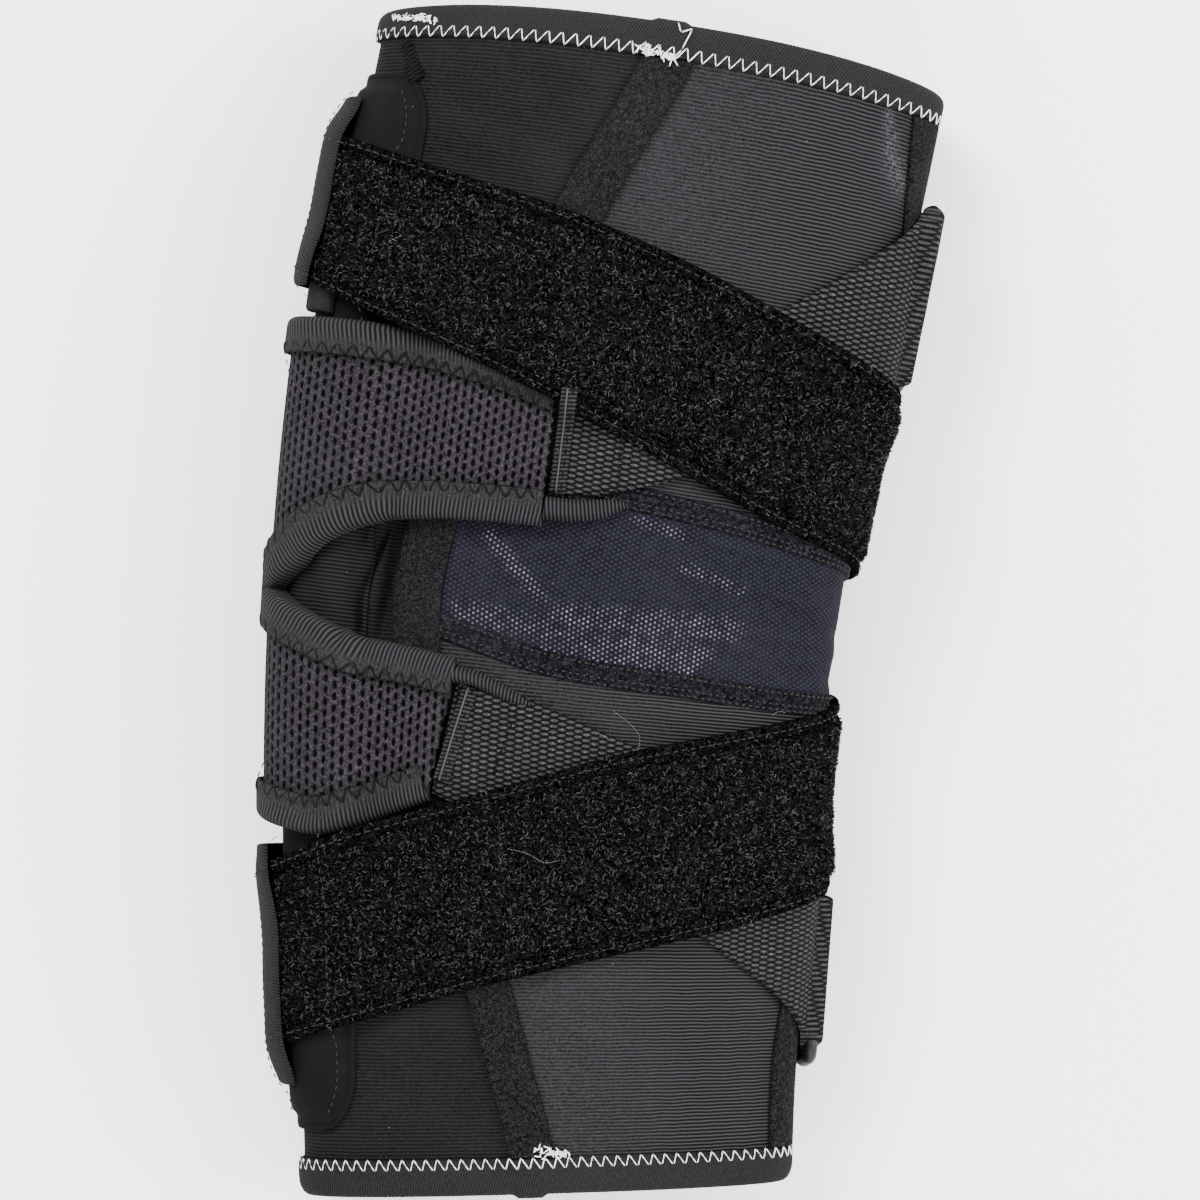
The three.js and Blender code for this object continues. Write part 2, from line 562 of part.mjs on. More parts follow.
// Bar of a ring along its rounded outline, lying on what is beneath it
function ringShape(ring, bar, sides) {
  const [x, y, r] = [RING.wide / 2, RING.long / 2 - RING.bar, RING.corner];
  const path = [];
  const corners = [[x - r, y - r, 0], [r - x, y - r, 90], [r - x, r - y, 180], [x - r, r - y, 270]];
  for (const [cx, cy, from] of corners) {
    for (const step of [0, 45, 90]) {
      const a = THREE.MathUtils.degToRad(from + step);
      path.push([cx + r * Math.cos(a), cy + r * Math.sin(a)]);
    }
    const beforeLongBar = from === 90 || from === 270;
    const onLongBar = beforeLongBar ? [0.25, 0.5, 0.75] : [];
    for (const f of onLongBar) path.push([cx + (cx < 0 ? -r : r), mix(cy, -cy, f)]);
  }
  const centre = (p) => {
    const [g, t] = ringAt(ring, p[0], p[1]);
    return spot(g, t, webRest(g, t) + OVER + RING.loop / 2);
  };
  const points = path.map(centre);
  const n = points.length;
  const outward = (i) => {
    const [g, t] = ringAt(ring, path[i][0], path[i][1]);
    return spot(g, t, 10).sub(spot(g, t, 0)).normalize();
  };
  return sweep(n, sides, (i, k) => {
    const run = points[(i + 1) % n].clone().sub(points[(i + n - 1) % n]).normalize();
    const up = outward(i);
    const side = run.clone().cross(up).normalize();
    const a = 2 * Math.PI * (k + 0.5) / sides;
    return points[i].clone().addScaledVector(side, bar * Math.cos(a)).addScaledVector(up, bar * Math.sin(a));
  });
}

// Adds a ring and gives the wider tunnel that its loops are cut with
function ring(name, spec) {
  add(name, ringShape(spec, RING.bar, 6), CLOTH.plastic);
  return solid(ringShape(spec, (RING.bar + GAP) / Math.cos(Math.PI / 8), 8));
}
const tunnelUpper = ring('ring_upper', RING_UPPER);
const tunnelLower = ring('ring_lower', RING_LOWER);
const LOOP_EDGE = RING.wide / 2 - RING.loop / 2;

function webbing(name, spec, ringSpec, tunnel) {
  const long = 140;
  const along = [0, 16, 32, 48, 64, 79, 92, 103, 112, 120, long - 14, long - 10.5, long - RING.loopLong,
    long - 3.5, long].map((d) => d / long);
  const ended = (line) => line.map((p, i) => (
    i === line.length - 1 ? [ringSide(ringSpec, -LOOP_EDGE, p[1]), p[1]] : p));
  const [high, low] = [ended(spec.high), ended(spec.low)];
  const rows = along.map((s) => shares(0, 1, 3).map((f) => {
    const [a, b] = [walk(low, s), walk(high, s)];
    const [g, t] = [mix(a[0], b[0], f), mix(a[1], b[1], f)];
    const rest = webRest(g, t) + OVER;
    const looped = clamp((s * long - (long - 10.5)) / (10.5 - RING.loopLong), 0, 1);
    return { g, t, low: rest, top: rest + mix(WEB_THICK, RING.loop, looped), flat: rest + WEB_THICK };
  }));
  add(name, fromSolid(solid(sheet(rows)).subtract(tunnel)), CLOTH.webbing);
  return rows.map((row) => row.map((p) => ({ ...p, top: p.flat })));
}
const webRows = [webbing('webbing_upper', WEB_UPPER, RING_UPPER, tunnelUpper),
  webbing('webbing_lower', WEB_LOWER, RING_LOWER, tunnelLower)];

[frameBody, lowerArm, upperArm].forEach(lay);
const notchEdge = [...EDGES.armNotchLow.slice().reverse(), ...EDGES.armNotchHigh.slice(1)];
binding('frame_binding_notch', notchEdge, 1, false);
binding('frame_binding_top', [...EDGES.high, ...EDGES.armHigh.slice(1)], -1, false);
binding('frame_binding_bottom', [...EDGES.low, ...EDGES.armLow.slice(1)], 1, false);
binding('patella_binding', openingOutline(OPENING.radius, OPENING.sides), -1, true);
lay(gussetRows);
webRows.forEach(lay);

// Fleece straps, from the plain end over the rear, round the left fold and across the front to a ring
function strap(name, spec, ringSpec, tunnel) {
  const rest = drape(9);
  const lines = girthLines(-0.44, STRAP_PLAIN_END);
  const atRing = [0, RING.loopLong / 2, RING.loopLong, RING.loopLong + 6];
  const rows = [...atRing, ...lines].map((line, i) => shares(0, 1, 3).map((f) => {
    const near = i < atRing.length;
    const g0 = near ? ringSpec.middle[0] - 1 + (LOOP_EDGE + line) / GIRTH : line;
    const t = mix(edgeAt(spec.low, g0), edgeAt(spec.high, g0), f);
    const g = near ? ringSide(ringSpec, LOOP_EDGE + line, t) - 1 : line;
    const away = (g - ringSpec.middle[0] + 1) * GIRTH;
    const settled = clamp((away - STRAP_SETTLE.from) / STRAP_SETTLE.over, 0, 1);
    const low = mix(webRest(g, t), rest(g, t), settled) + OVER;
    const thick = near ? mix(RING.loop, STRAP_THICK, clamp((line - RING.loopLong) / 6, 0, 1)) : STRAP_THICK;
    return { g, t, low, top: low + thick };
  }));
  add(name, fromSolid(solid(sheet(rows)).subtract(tunnel)), CLOTH.fleece);
  return rows;
}
const strapRows = [strap('strap_upper', STRAP_UPPER, RING_UPPER, tunnelUpper),
  strap('strap_lower', STRAP_LOWER, RING_LOWER, tunnelLower)];
strapRows.forEach(lay);

// Elastic keepers over the straps at the left fold
function keeper(name, [from, to]) {
  const rest = drape(4);
  const rows = shares(KEEPER.from, KEEPER.to, 6).map((g) => shares(from, to, 6).map((t) => {
    const low = rest(g, t) + OVER;
    return { g, t, low, top: low + KEEPER.thick };
  }));
  add(name, sheet(rows), CLOTH.binding);
}
keeper('keeper_upper', KEEPER_UPPER);
keeper('keeper_lower', KEEPER_LOWER);

// The middle of the base is the origin
const bounds = new THREE.Box3().setFromObject(group);
const middle = bounds.getCenter(new THREE.Vector3());
for (const mesh of group.children) mesh.geometry.translate(-middle.x, -middle.y, 0);

export default group;
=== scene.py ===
# %% [markdown]
# # A knee support lying on its front
# A long knitted sleeve, wrapped by a spacer mesh frame and by two wide fleece straps, lies with its
# kneecap opening on the table, so we look at the back of the knee. Nearly all of it is cloth, and each
# cloth is modelled on a flat grid and then laid on the sleeve.
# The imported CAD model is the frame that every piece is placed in.

# %% Load the frame
import math
import bmesh
import bpy
import numpy as np
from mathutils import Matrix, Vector


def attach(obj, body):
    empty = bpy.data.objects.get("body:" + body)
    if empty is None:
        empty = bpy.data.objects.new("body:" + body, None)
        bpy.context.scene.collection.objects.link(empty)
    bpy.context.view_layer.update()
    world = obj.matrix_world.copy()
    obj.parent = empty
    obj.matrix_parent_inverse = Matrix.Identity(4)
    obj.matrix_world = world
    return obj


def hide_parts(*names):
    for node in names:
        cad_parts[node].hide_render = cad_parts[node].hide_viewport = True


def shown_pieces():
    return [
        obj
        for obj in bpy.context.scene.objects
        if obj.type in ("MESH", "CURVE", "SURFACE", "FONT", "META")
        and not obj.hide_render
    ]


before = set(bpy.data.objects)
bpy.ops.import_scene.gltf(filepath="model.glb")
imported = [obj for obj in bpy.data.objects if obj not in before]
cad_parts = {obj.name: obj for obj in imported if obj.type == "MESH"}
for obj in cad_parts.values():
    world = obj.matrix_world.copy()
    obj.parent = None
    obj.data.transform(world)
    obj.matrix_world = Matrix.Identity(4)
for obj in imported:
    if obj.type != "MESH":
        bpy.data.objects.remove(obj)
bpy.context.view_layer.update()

# %% [markdown]
# ## Camera
# The photograph looks straight down on the support, turned by about six degrees. A long lens from far
# above keeps the outline almost free of perspective, as a product photograph does.

# %% Camera
CAMERA = {"over": (0.0068, 0.0062), "turn": math.radians(5.97), "level": 0.050, "away": 1.9, "view": 0.348}
lens = bpy.data.cameras.new("camera")
lens.sensor_width = 36
lens.lens = 36 * CAMERA["away"] / CAMERA["view"]
camera = bpy.data.objects.new("camera", lens)
camera.location = (*CAMERA["over"], CAMERA["level"] + CAMERA["away"])
camera.rotation_euler = (0, 0, CAMERA["turn"])
bpy.context.collection.objects.link(camera)
bpy.context.scene.camera = camera
print("focal length in mm:", round(lens.lens))

# %% [markdown]
# ## The sleeve as a map
# A stuffed, flattened tube could be sculpted, but every layer has to lie on the one beneath it. So the
# sleeve is a map: a place is a girth share (0 left fold, 0.25 crown, 0.5 right fold, 0.75 underside), a
# length share (0 calf hem, 1 thigh hem) and a height above the face in millimetres. The sections are
# rounded boxes, rounder above than below, where the cloth is pressed on the table.

# %% Sections of the sleeve
MM = 0.001
LENGTH = 331.7
GIRTH = 370
BEND = 9.3
THIGH_BOW = 7
CROWN = 2.3
BELLY = 3.4
CENTRE = np.array([8.677, 0.983, 0])
SECTIONS = {
    "width": [141.0, 147.0, 153.5, 160.0, 163.7],
    "depth": [50, 56, 62, 63, 58],
    "tilt": [7.7, 4.3, -1.1, -4.3, -2.6],
}
LIFT = [1.7, 5.2, 6.6, 6.6, 6.6, 6.6, 6.6, 5.2, 1.7]


def through(row, share):
    """Smooth value through a row of evenly spaced values."""
    row = np.asarray(row, float)
    x = np.clip(share, 0, 1) * (len(row) - 1)
    i = np.minimum(np.floor(x).astype(int), len(row) - 2)
    f = x - i
    a, b, c, d = [row[np.clip(i + k, 0, len(row) - 1)] for k in (-1, 0, 1, 2)]
    return b + 0.5 * f * (c - a + f * (2 * a - 5 * b + 4 * c - d + f * (3 * (b - c) + d - a)))


def even_turns():
    """Angle round a section for each share of girth, even in arc length at the knee."""
    turns = []
    for start, power in ((0, CROWN), (math.pi, BELLY)):
        angle = np.linspace(0, math.pi, 601)
        x = 0.5 * SECTIONS["width"][2] * np.sign(np.cos(angle)) * np.abs(np.cos(angle)) ** (2 / power)
        y = 0.5 * SECTIONS["depth"][2] * np.abs(np.sin(angle)) ** (2 / power)
        arc = np.concatenate([[0], np.cumsum(np.hypot(np.diff(x), np.diff(y)))])
        turns.extend(start + np.interp(np.arange(250) / 250 * arc[-1], arc, angle))
    return np.array(turns + [2 * math.pi])


TURNS = even_turns()
print("turns in the table:", len(TURNS))

# %% [markdown]
# ## Folds in the knit
# An empty sleeve pulls into shallow folds where its straps tug on it and where the thin mesh behind the
# knee gathers. Displacing each cloth with noise would tear the layers apart, so the folds belong to the
# map: each is a ridge or a groove along a short line, and whatever lies there rises and falls with it.

# %% Table of folds
FOLDS = [
    # girth and length shares of both ends, width and height in millimetres
    ((0.070, 0.955), (0.150, 0.915), 3.4, 1.1),
    ((0.080, 0.930), (0.225, 0.880), 3.0, -0.9),
    ((0.085, 0.905), (0.190, 0.868), 3.4, 1.2),
    ((0.100, 0.962), (0.245, 0.930), 2.6, -0.8),
    ((0.150, 0.968), (0.240, 0.952), 3.2, 0.8),
    ((0.090, 0.885), (0.165, 0.850), 2.6, -0.8),
    ((0.150, 0.551), (0.300, 0.566), 2.6, 0.9),
    ((0.155, 0.532), (0.270, 0.522), 2.2, -0.8),
    ((0.153, 0.517), (0.330, 0.500), 2.4, 0.9),
    ((0.151, 0.496), (0.280, 0.477), 2.2, -0.9),
    ((0.160, 0.480), (0.350, 0.462), 2.2, 0.8),
    ((0.232, 0.585), (0.300, 0.545), 2.2, 0.9),
    ((0.294, 0.589), (0.400, 0.574), 2.4, 1.2),
    ((0.320, 0.580), (0.440, 0.555), 2.0, -1.0),
    ((0.343, 0.560), (0.480, 0.528), 2.4, 1.2),
    ((0.366, 0.540), (0.510, 0.508), 2.0, -1.0),
    ((0.350, 0.515), (0.510, 0.490), 2.6, 1.1),
    ((0.330, 0.480), (0.505, 0.468), 2.4, -1.1),
    ((0.380, 0.462), (0.530, 0.455), 2.4, 1.0),
    ((0.309, 0.600), (0.390, 0.510), 2.8, -0.7),
    ((0.410, 0.590), (0.470, 0.500), 2.8, 0.8),
    ((0.085, 0.140), (0.150, 0.080), 3.4, 0.9),
    ((0.100, 0.160), (0.190, 0.120), 3.0, -0.7),
    ((0.110, 0.080), (0.200, 0.050), 3.0, 0.6),
    ((0.300, 0.420), (0.440, 0.432), 3.0, 0.7),
    ((0.220, 0.435), (0.330, 0.410), 2.6, -0.6),
    ((0.350, 0.900), (0.440, 0.860), 7.0, 0.6),
    ((0.300, 0.120), (0.420, 0.060), 7.0, -0.6),
    ((0.094, 0.558), (0.083, 0.518), 1.4, -4.0),
    ((0.085, 0.533), (0.074, 0.490), 1.4, -4.0),
    ((0.074, 0.500), (0.078, 0.450), 1.3, -3.6),
    ((0.105, 0.572), (0.091, 0.440), 2.0, -5.0),
    ((0.062, 0.560), (0.056, 0.455), 5.5, 1.6),
    ((0.030, 0.530), (0.050, 0.500), 3.0, -0.8),
    ((0.160, 0.800), (0.290, 0.780), 6.0, -0.5),
]


def away_from(g, t, start, end):
    """Distance in millimetres from a short line between two places, and the share along it."""
    x, y = (g - np.floor(g)) * GIRTH, t * LENGTH
    ax, ay = start[0] * GIRTH, start[1] * LENGTH
    bx, by = end[0] * GIRTH - ax, end[1] * LENGTH - ay
    along = np.clip(((x - ax) * bx + (y - ay) * by) / (bx * bx + by * by), 0, 1)
    return np.hypot(x - ax - along * bx, y - ay - along * by), along


def folds(g, t):
    """Height of the folds at girth share g and length share t."""
    height = np.zeros(np.broadcast(g, t).shape)
    for start, end, wide, high in FOLDS:
        away, along = away_from(g, t, start, end)
        height += high * np.exp(-(away / wide) ** 2) * np.sin(math.pi * np.clip(along, 0.06, 0.94))
    return height


def brightest(g, t, table):
    """From 0 to 1 where a mark of a table lies, each a short line and its width in millimetres."""
    mark = np.zeros(np.broadcast(g, t).shape)
    for start, end, wide in table:
        mark = np.maximum(mark, np.exp(-(away_from(g, t, start, end)[0] / wide) ** 2))
    return mark


def spot(g, t, h):
    """Points in millimetres, in the frame of the CAD model."""
    g, t, h = np.broadcast_arrays(np.asarray(g, float), t, h)
    turn = np.interp((g - np.floor(g)) * 500, np.arange(501), TURNS)
    power = np.where(turn < math.pi, CROWN, BELLY)
    half, rise = through(SECTIONS["width"], t) / 2, through(SECTIONS["depth"], t) / 2
    tilt = np.radians(through(SECTIONS["tilt"], t))
    c, s = np.cos(turn), np.sin(turn)
    across = -np.sign(c) * np.abs(c) ** (2 / power)
    up = np.sign(s) * np.abs(s) ** (2 / power)
    nx = np.sign(across) * np.abs(across) ** (power - 1) / half
    ny = np.sign(up) * np.abs(up) ** (power - 1) / rise
    size = np.maximum(np.hypot(nx, ny), 1e-9)
    h = h + folds(g, t)
    u = half * across + nx / size * h
    z = rise * (1 + up) + ny / size * h + through(LIFT, t)
    bow = THIGH_BOW * np.maximum(0, (t - 0.75) / 0.25) ** 2 * np.maximum(0, up) ** 2
    x = -BEND * 4 * t * (1 - t) + u * np.cos(tilt) - bow * np.sin(tilt)
    y = (t - 0.5) * LENGTH + u * np.sin(tilt) + bow * np.cos(tilt)
    return np.stack([x, y, z], -1) + CENTRE


def pressed(points, level, table=0.0):
    """What touches the table lies flat on it: outer faces at table, inner faces a little above."""
    floor = table + 0.8 * (1 - np.asarray(level, float))
    points[..., 2] = np.maximum(points[..., 2], floor)
    return points


print("crown at the knee in mm:", spot(0.25, 0.5, 0).round(1), "with", len(FOLDS), "folds")

# %% [markdown]
# ## Layers
# Cloth never sinks into what it lies on: it bridges from high point to high point. A height field over
# the sleeve keeps the top of everything laid so far. A new layer rests on that field, spread by the
# reach over which this cloth bridges and then softened.

# %% Height field
CELLS = (520, 260)
laid = np.zeros(CELLS)


def lay(g, t, top):
    """Records the tops of a piece at dense places."""
    i = np.floor((g - np.floor(g)) * CELLS[0]).astype(int) % CELLS[0]
    k = np.clip(np.floor(t * CELLS[1]).astype(int), 0, CELLS[1] - 1)
    np.maximum.at(laid, (i, k), top)


def shifted(field, axis, step):
    """The field moved along the girth, which closes, or along the length, which ends."""
    if axis == 0:
        return np.roll(field, step, 0)
    return field[:, np.clip(np.arange(CELLS[1]) - step, 0, CELLS[1] - 1)]


def drape(reach):
    """Surface that the next cloth can lie on, as a function of girth and length shares."""
    span = [math.ceil(reach * CELLS[0] / GIRTH), math.ceil(reach * CELLS[1] / LENGTH)]
    field = laid
    for axis in (0, 1):
        field = np.max([shifted(field, axis, k) for k in range(-span[axis], span[axis] + 1)], 0)
    for axis in (0, 1, 0, 1):
        soft = max(1, round(span[axis] * 0.6))
        field = np.mean([shifted(field, axis, k) for k in range(-soft, soft + 1)], 0)

    def rest(g, t):
        x = (g - np.floor(g)) * CELLS[0] - 0.5
        y = np.clip(t * CELLS[1] - 0.5, 0, CELLS[1] - 1.001)
        i, k = np.floor(x).astype(int), np.floor(y).astype(int)
        fx, fy = x - i, y - k
        at = lambda a, b: field[a % CELLS[0], np.minimum(b, CELLS[1] - 1)]
        low = at(i, k) * (1 - fx) + at(i + 1, k) * fx
        high = at(i, k + 1) * (1 - fx) + at(i + 1, k + 1) * fx
        return low * (1 - fy) + high * fy
    return rest


print("cell of the field in mm:", round(GIRTH / CELLS[0], 2), "x", round(LENGTH / CELLS[1], 2))

# %% [markdown]
# ## Cutting and laying cloth
# A cut of cloth is a flat grid with a thickness: a bmesh grid, extruded once. The flat grid is also the
# cloth's own UV map, in metres, so ribs and weave keep their size wherever it is laid. Then each vertex
# moves to its place on the sleeve. Grid lines crowd near an edge, where the cloth rounds over.

# %% Cloth maker
def lines(start, end, step, edge=0.0):
    """Even lines from start to end, with three more close to each end where the edge is rounded."""
    inside = np.linspace(start + edge, end - edge, max(2, int(abs(end - start - 2 * edge) / step) + 1))
    if not edge:
        return inside
    rim = np.array([0.0, 0.12, 0.45]) * edge
    return np.concatenate([start + rim, inside, end - rim[::-1]])


def rounded(distance, radius):
    """From 0 at the edge to 1 at radius inside it, along a quarter circle."""
    return np.sqrt(1 - (1 - np.clip(distance / radius, 0, 1)) ** 2)


def finish_piece(name, mesh, stands_for=()):
    """Links a mesh as a piece that rides on the body, and hides the nodes it stands for."""
    piece = bpy.data.objects.new(name, mesh)
    bpy.context.collection.objects.link(piece)
    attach(piece, "root")
    if stands_for:
        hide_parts(*stands_for)
    return piece


def cloth(name, across, along, place, stands_for=(), keep=None, closed=False, flat=None, tone=None):
    """Cuts a grid of cloth, thickens it, and lays it by place(across, along, level)."""
    bm = bmesh.new()
    size = (len(across) - 1, len(along) - 1)
    bmesh.ops.create_grid(bm, x_segments=size[0], y_segments=size[1], size=1)
    count = lambda co: ((co[0] + 1) / 2 * size[0], (co[1] + 1) / 2 * size[1])
    if keep:
        centres = np.array([count(face.calc_center_median()) for face in bm.faces])
        a = np.interp(centres[:, 0], np.arange(len(across)), across)
        b = np.interp(centres[:, 1], np.arange(len(along)), along)
        cut = [face for face, stays in zip(bm.faces, keep(a, b)) if not stays]
        bmesh.ops.delete(bm, geom=cut, context="FACES")
    raised = bmesh.ops.extrude_face_region(bm, geom=bm.faces[:], use_keep_orig=True)
    tops = [v for v in raised["geom"] if isinstance(v, bmesh.types.BMVert)]
    bmesh.ops.translate(bm, verts=tops, vec=(0, 0, 1))
    bmesh.ops.recalc_face_normals(bm, faces=bm.faces)
    if closed:
        ends = [f for f in bm.faces if len({round(v.co.y, 4) for v in f.verts}) == 1]
        bmesh.ops.delete(bm, geom=ends, context="FACES_ONLY")
    mesh = bpy.data.meshes.new(name)
    bm.to_mesh(mesh)
    bm.free()
    co = np.empty(3 * len(mesh.vertices), np.float32)
    mesh.vertices.foreach_get("co", co)
    co = co.reshape(-1, 3)
    i, k = [np.rint(x).astype(int) for x in count(co.T)]
    a, b = np.asarray(across)[i], np.asarray(along)[k]
    points = place(a, b, co[:, 2])
    mesh.vertices.foreach_set("co", (points * MM).astype(np.float32).ravel())
    flat = flat or (lambda a, b: (a, b))
    corner = np.empty(len(mesh.loops), np.int32)
    mesh.loops.foreach_get("vertex_index", corner)
    layer = mesh.uv_layers.new(name="flat")
    uv = np.stack(flat(a, b), -1)[corner] * MM
    layer.data.foreach_set("uv", uv.astype(np.float32).ravel())
    if tone:
        shade = mesh.attributes.new("tone", "FLOAT", "POINT")
        shade.data.foreach_set("value", tone(a, b).astype(np.float32))
    bm = bmesh.new()
    bm.from_mesh(mesh)
    if closed:
        bmesh.ops.remove_doubles(bm, verts=bm.verts, dist=1e-6)
    if bm.calc_volume(signed=True) < 0:
        bmesh.ops.reverse_faces(bm, faces=bm.faces)
    bm.to_mesh(mesh)
    bm.free()
    mesh.shade_smooth()
    mesh.set_sharp_from_angle(angle=math.radians(50))
    piece = finish_piece(name, mesh, stands_for)
    print(f"{name}: {len(mesh.polygons)} faces")
    return piece


# %% [markdown]
# ## Sleeve panels
# The sleeve is cut from foam-backed jersey: one front panel round both folds, two rear panels, and a
# thin mesh panel behind the knee. They are butted edge to edge. Each panel is one cut of cloth between
# two seam lines, three millimetres thick.

# %% Seams and panels
WALL = 3
ENDS = (1.6 / LENGTH, 1 - 1.6 / LENGTH)
SEAM_LEFT = [0.243, 0.214, 0.178, 0.143, 0.125, 0.146, 0.183, 0.222, 0.262]
SEAM_RIGHT = [0.474, 0.475, 0.500, 0.540, 0.560, 0.548, 0.520, 0.490, 0.470]
BEHIND_KNEE_LOW = [0.475, 0.450, 0.443, 0.438, 0.440]
BEHIND_KNEE_HIGH = [0.606, 0.612, 0.606, 0.590, 0.572]
KNEECAP = (-0.158, 0.500)
OPENING = 30
left_seam = lambda t: through(SEAM_LEFT, t)
right_seam = lambda t: through(SEAM_RIGHT, t)


def from_kneecap(g, t):
    """Distance from the middle of the kneecap opening, in millimetres."""
    return np.hypot((g - KNEECAP[0]) * GIRTH, (t - KNEECAP[1]) * LENGTH)


def to_circle(g, t, radius, reach):
    """Pulls places within reach of a circle round the kneecap onto it."""
    away = from_kneecap(g, t)
    pull = np.where(np.abs(away - radius) < reach, radius / np.maximum(away, 1e-6), 1)
    return KNEECAP[0] + (g - KNEECAP[0]) * pull, KNEECAP[1] + (t - KNEECAP[1]) * pull


def front_place(a, b, level):
    t = b / LENGTH
    g = right_seam(t) - 1 + a / 230 * (left_seam(t) - right_seam(t) + 1)
    g, t = to_circle(g, t, OPENING - 2, 1.15)
    return pressed(spot(g, t, -WALL * (1 - level)), level)


def front_keep(a, b):
    t = b / LENGTH
    g = right_seam(t) - 1 + a / 230 * (left_seam(t) - right_seam(t) + 1)
    return from_kneecap(g, t) > OPENING - 2


LONG = lines(ENDS[0] * LENGTH, ENDS[1] * LENGTH, 2.4)
ROUND = np.concatenate([lines(0, 190, 1.8), lines(190.7, 230, 0.7)])
front = cloth("front_panel", ROUND, LONG, front_place, ["front_shell"], front_keep)


# Fold ridges of the thin mesh where its light specks show, partly painted highlight.
SHINE = [((0.178, 0.558), (0.223, 0.512), 2.6), ((0.331, 0.556), (0.380, 0.541), 2.0),
         ((0.240, 0.497), (0.378, 0.506), 4.5),
         ((0.255, 0.476), (0.356, 0.478), 4.5), ((0.230, 0.464), (0.350, 0.462), 3),
         ((0.294, 0.441), (0.352, 0.441), 2),
         ((0.160, 0.492), (0.240, 0.484), 4), ((0.290, 0.590), (0.330, 0.582), 1.6)]
GLUE = [((0.431, 0.968), (0.437, 0.950), 1.6), ((0.437, 0.950), (0.443, 0.930), 2.6),
        ((0.445, 0.930), (0.457, 0.916), 3.6)]


def rear_panel(name, low, high, step, node, glue_and_shine):
    """A rear panel between the two long seams and two lines across, with a tone from a table: glue marks on
    the thigh, light specks on the fold ridges of the thin mesh, partly painted highlight.
    """
    def place(a, b, level):
        f = a / 120
        t = low(f) + b * (high(f) - low(f))
        g = left_seam(t) + f * (right_seam(t) - left_seam(t))
        return pressed(spot(g, t, -WALL * (1 - level)), level)

    def flat(a, b):
        f = a / 120
        return a, (low(f) + b * (high(f) - low(f))) * LENGTH

    def glue_and_shine_at(a, b):
        f = a / 120
        t = low(f) + b * (high(f) - low(f))
        return brightest(left_seam(t) + f * (right_seam(t) - left_seam(t)), t, glue_and_shine)
    rows = max(24, int((high(0.5) - low(0.5)) * LENGTH / step))
    return cloth(name, lines(0, 120, step), np.linspace(0, 1, rows), place, [node], flat=flat,
                 tone=glue_and_shine_at)


knee_low = lambda f: through(BEHIND_KNEE_LOW, f)
knee_high = lambda f: through(BEHIND_KNEE_HIGH, f)
rear_upper = rear_panel("rear_panel_thigh", knee_high, lambda f: ENDS[1] + 0 * f, 1.5,
                        "rear_panel_upper", GLUE)
behind_knee = rear_panel("panel_behind_knee", knee_low, knee_high, 1.0, "popliteal_panel",
                         SHINE)
rear_lower = rear_panel("rear_panel_calf", lambda f: ENDS[0] + 0 * f, knee_low, 1.5,
                        "rear_panel_lower", [])

# %% [markdown]
# ## Hems
# Each end of the sleeve is bound: a strip of jersey folded over the raw edge. The strip is a cut of
# cloth whose width runs down one side, round the edge and up the other, closed into a ring. Where its
# two ends overlap, it is a little thicker.

# %% Hems
HEM = {"wide": 8.6, "skin": 1.5, "gap": 0.4}
HEM_JOINT = {"hem_top": (0.237, 0.268), "hem_bottom": (0.224, 0.252)}
HEM_PLUMP = {"hem_top": 0.3, "hem_bottom": 1.9}


def step_up(x, start, end):
    """Smooth step from 0 at start to 1 at end."""
    f = np.clip((x - start) / (end - start), 0, 1)
    return f * f * (3 - 2 * f)


def hem(name, edge, inward):
    """Binding folded over one end of the sleeve; inward is 1 at the calf end and -1 at the thigh end."""
    inner = WALL / 2 + HEM["gap"]
    outer = inner + HEM["skin"]
    leg = HEM["wide"] - outer
    arc = math.pi * (inner + HEM["skin"] / 2)
    joint = HEM_JOINT[name]

    def place(a, b, level):
        g = b / GIRTH
        edge_in = np.minimum(a, 2 * leg + arc - a)
        radius = inner + level * HEM["skin"] * (0.35 + 0.65 * rounded(edge_in, 1.3))
        lapped = step_up(g, joint[0], joint[0] + 0.002) * (1 - step_up(g, joint[1] - 0.003, joint[1]))
        radius = radius + level * 0.7 * lapped
        angle = np.clip((a - leg) / arc, 0, 1) * math.pi
        side = np.where(a < leg, HEM["wide"] - a, outer + np.maximum(0, a - leg - arc))
        plump = 1 + HEM_PLUMP[name] / outer * (g < 0.5)
        side = np.where((a >= leg) & (a <= leg + arc), outer - radius * plump * np.sin(angle), side)
        h = -WALL / 2 + radius * np.cos(angle)
        top = (h > -WALL / 2) == (level > 0.5)
        return pressed(spot(g, edge + inward * side / LENGTH, h), np.where(top, 1, level))

    bend = np.linspace(leg, leg + arc, 11)
    across = np.concatenate([lines(0, leg, 1.1)[:-1], [leg * 0.99], bend,
                             lines(leg + arc, 2 * leg + arc, 1.1)[1:]])
    across = np.unique(np.concatenate([across, [0.25, 0.6, 2 * leg + arc - 0.6, 2 * leg + arc - 0.25]]))
    piece = cloth(name, across, lines(0, GIRTH, 1.9), place, [name], closed=True)
    g, side = np.meshgrid(np.linspace(0, 1, 1200), np.linspace(0, HEM["wide"], 24))
    lap = (g > joint[0]) & (g < joint[1])
    lay(g, edge + inward * side / LENGTH, HEM["skin"] + HEM["gap"] + 0.7 * lap)
    return piece


hem_calf = hem("hem_bottom", 0, 1)
hem_thigh = hem("hem_top", 1, -1)

# %% [markdown]
# ## Tapes over the long seams
# A strip of loop pile is sewn over each long seam. It is flat cloth with rounded edges, so its maker
# is the general one: a width across the seam and a length along it.

# %% Seam tapes
TAPE = {"wide": 14.5, "thick": 1.2, "over": 0.8}
TAPE_ENDS = ((HEM["wide"] + 0.4), LENGTH - HEM["wide"] - 0.4)


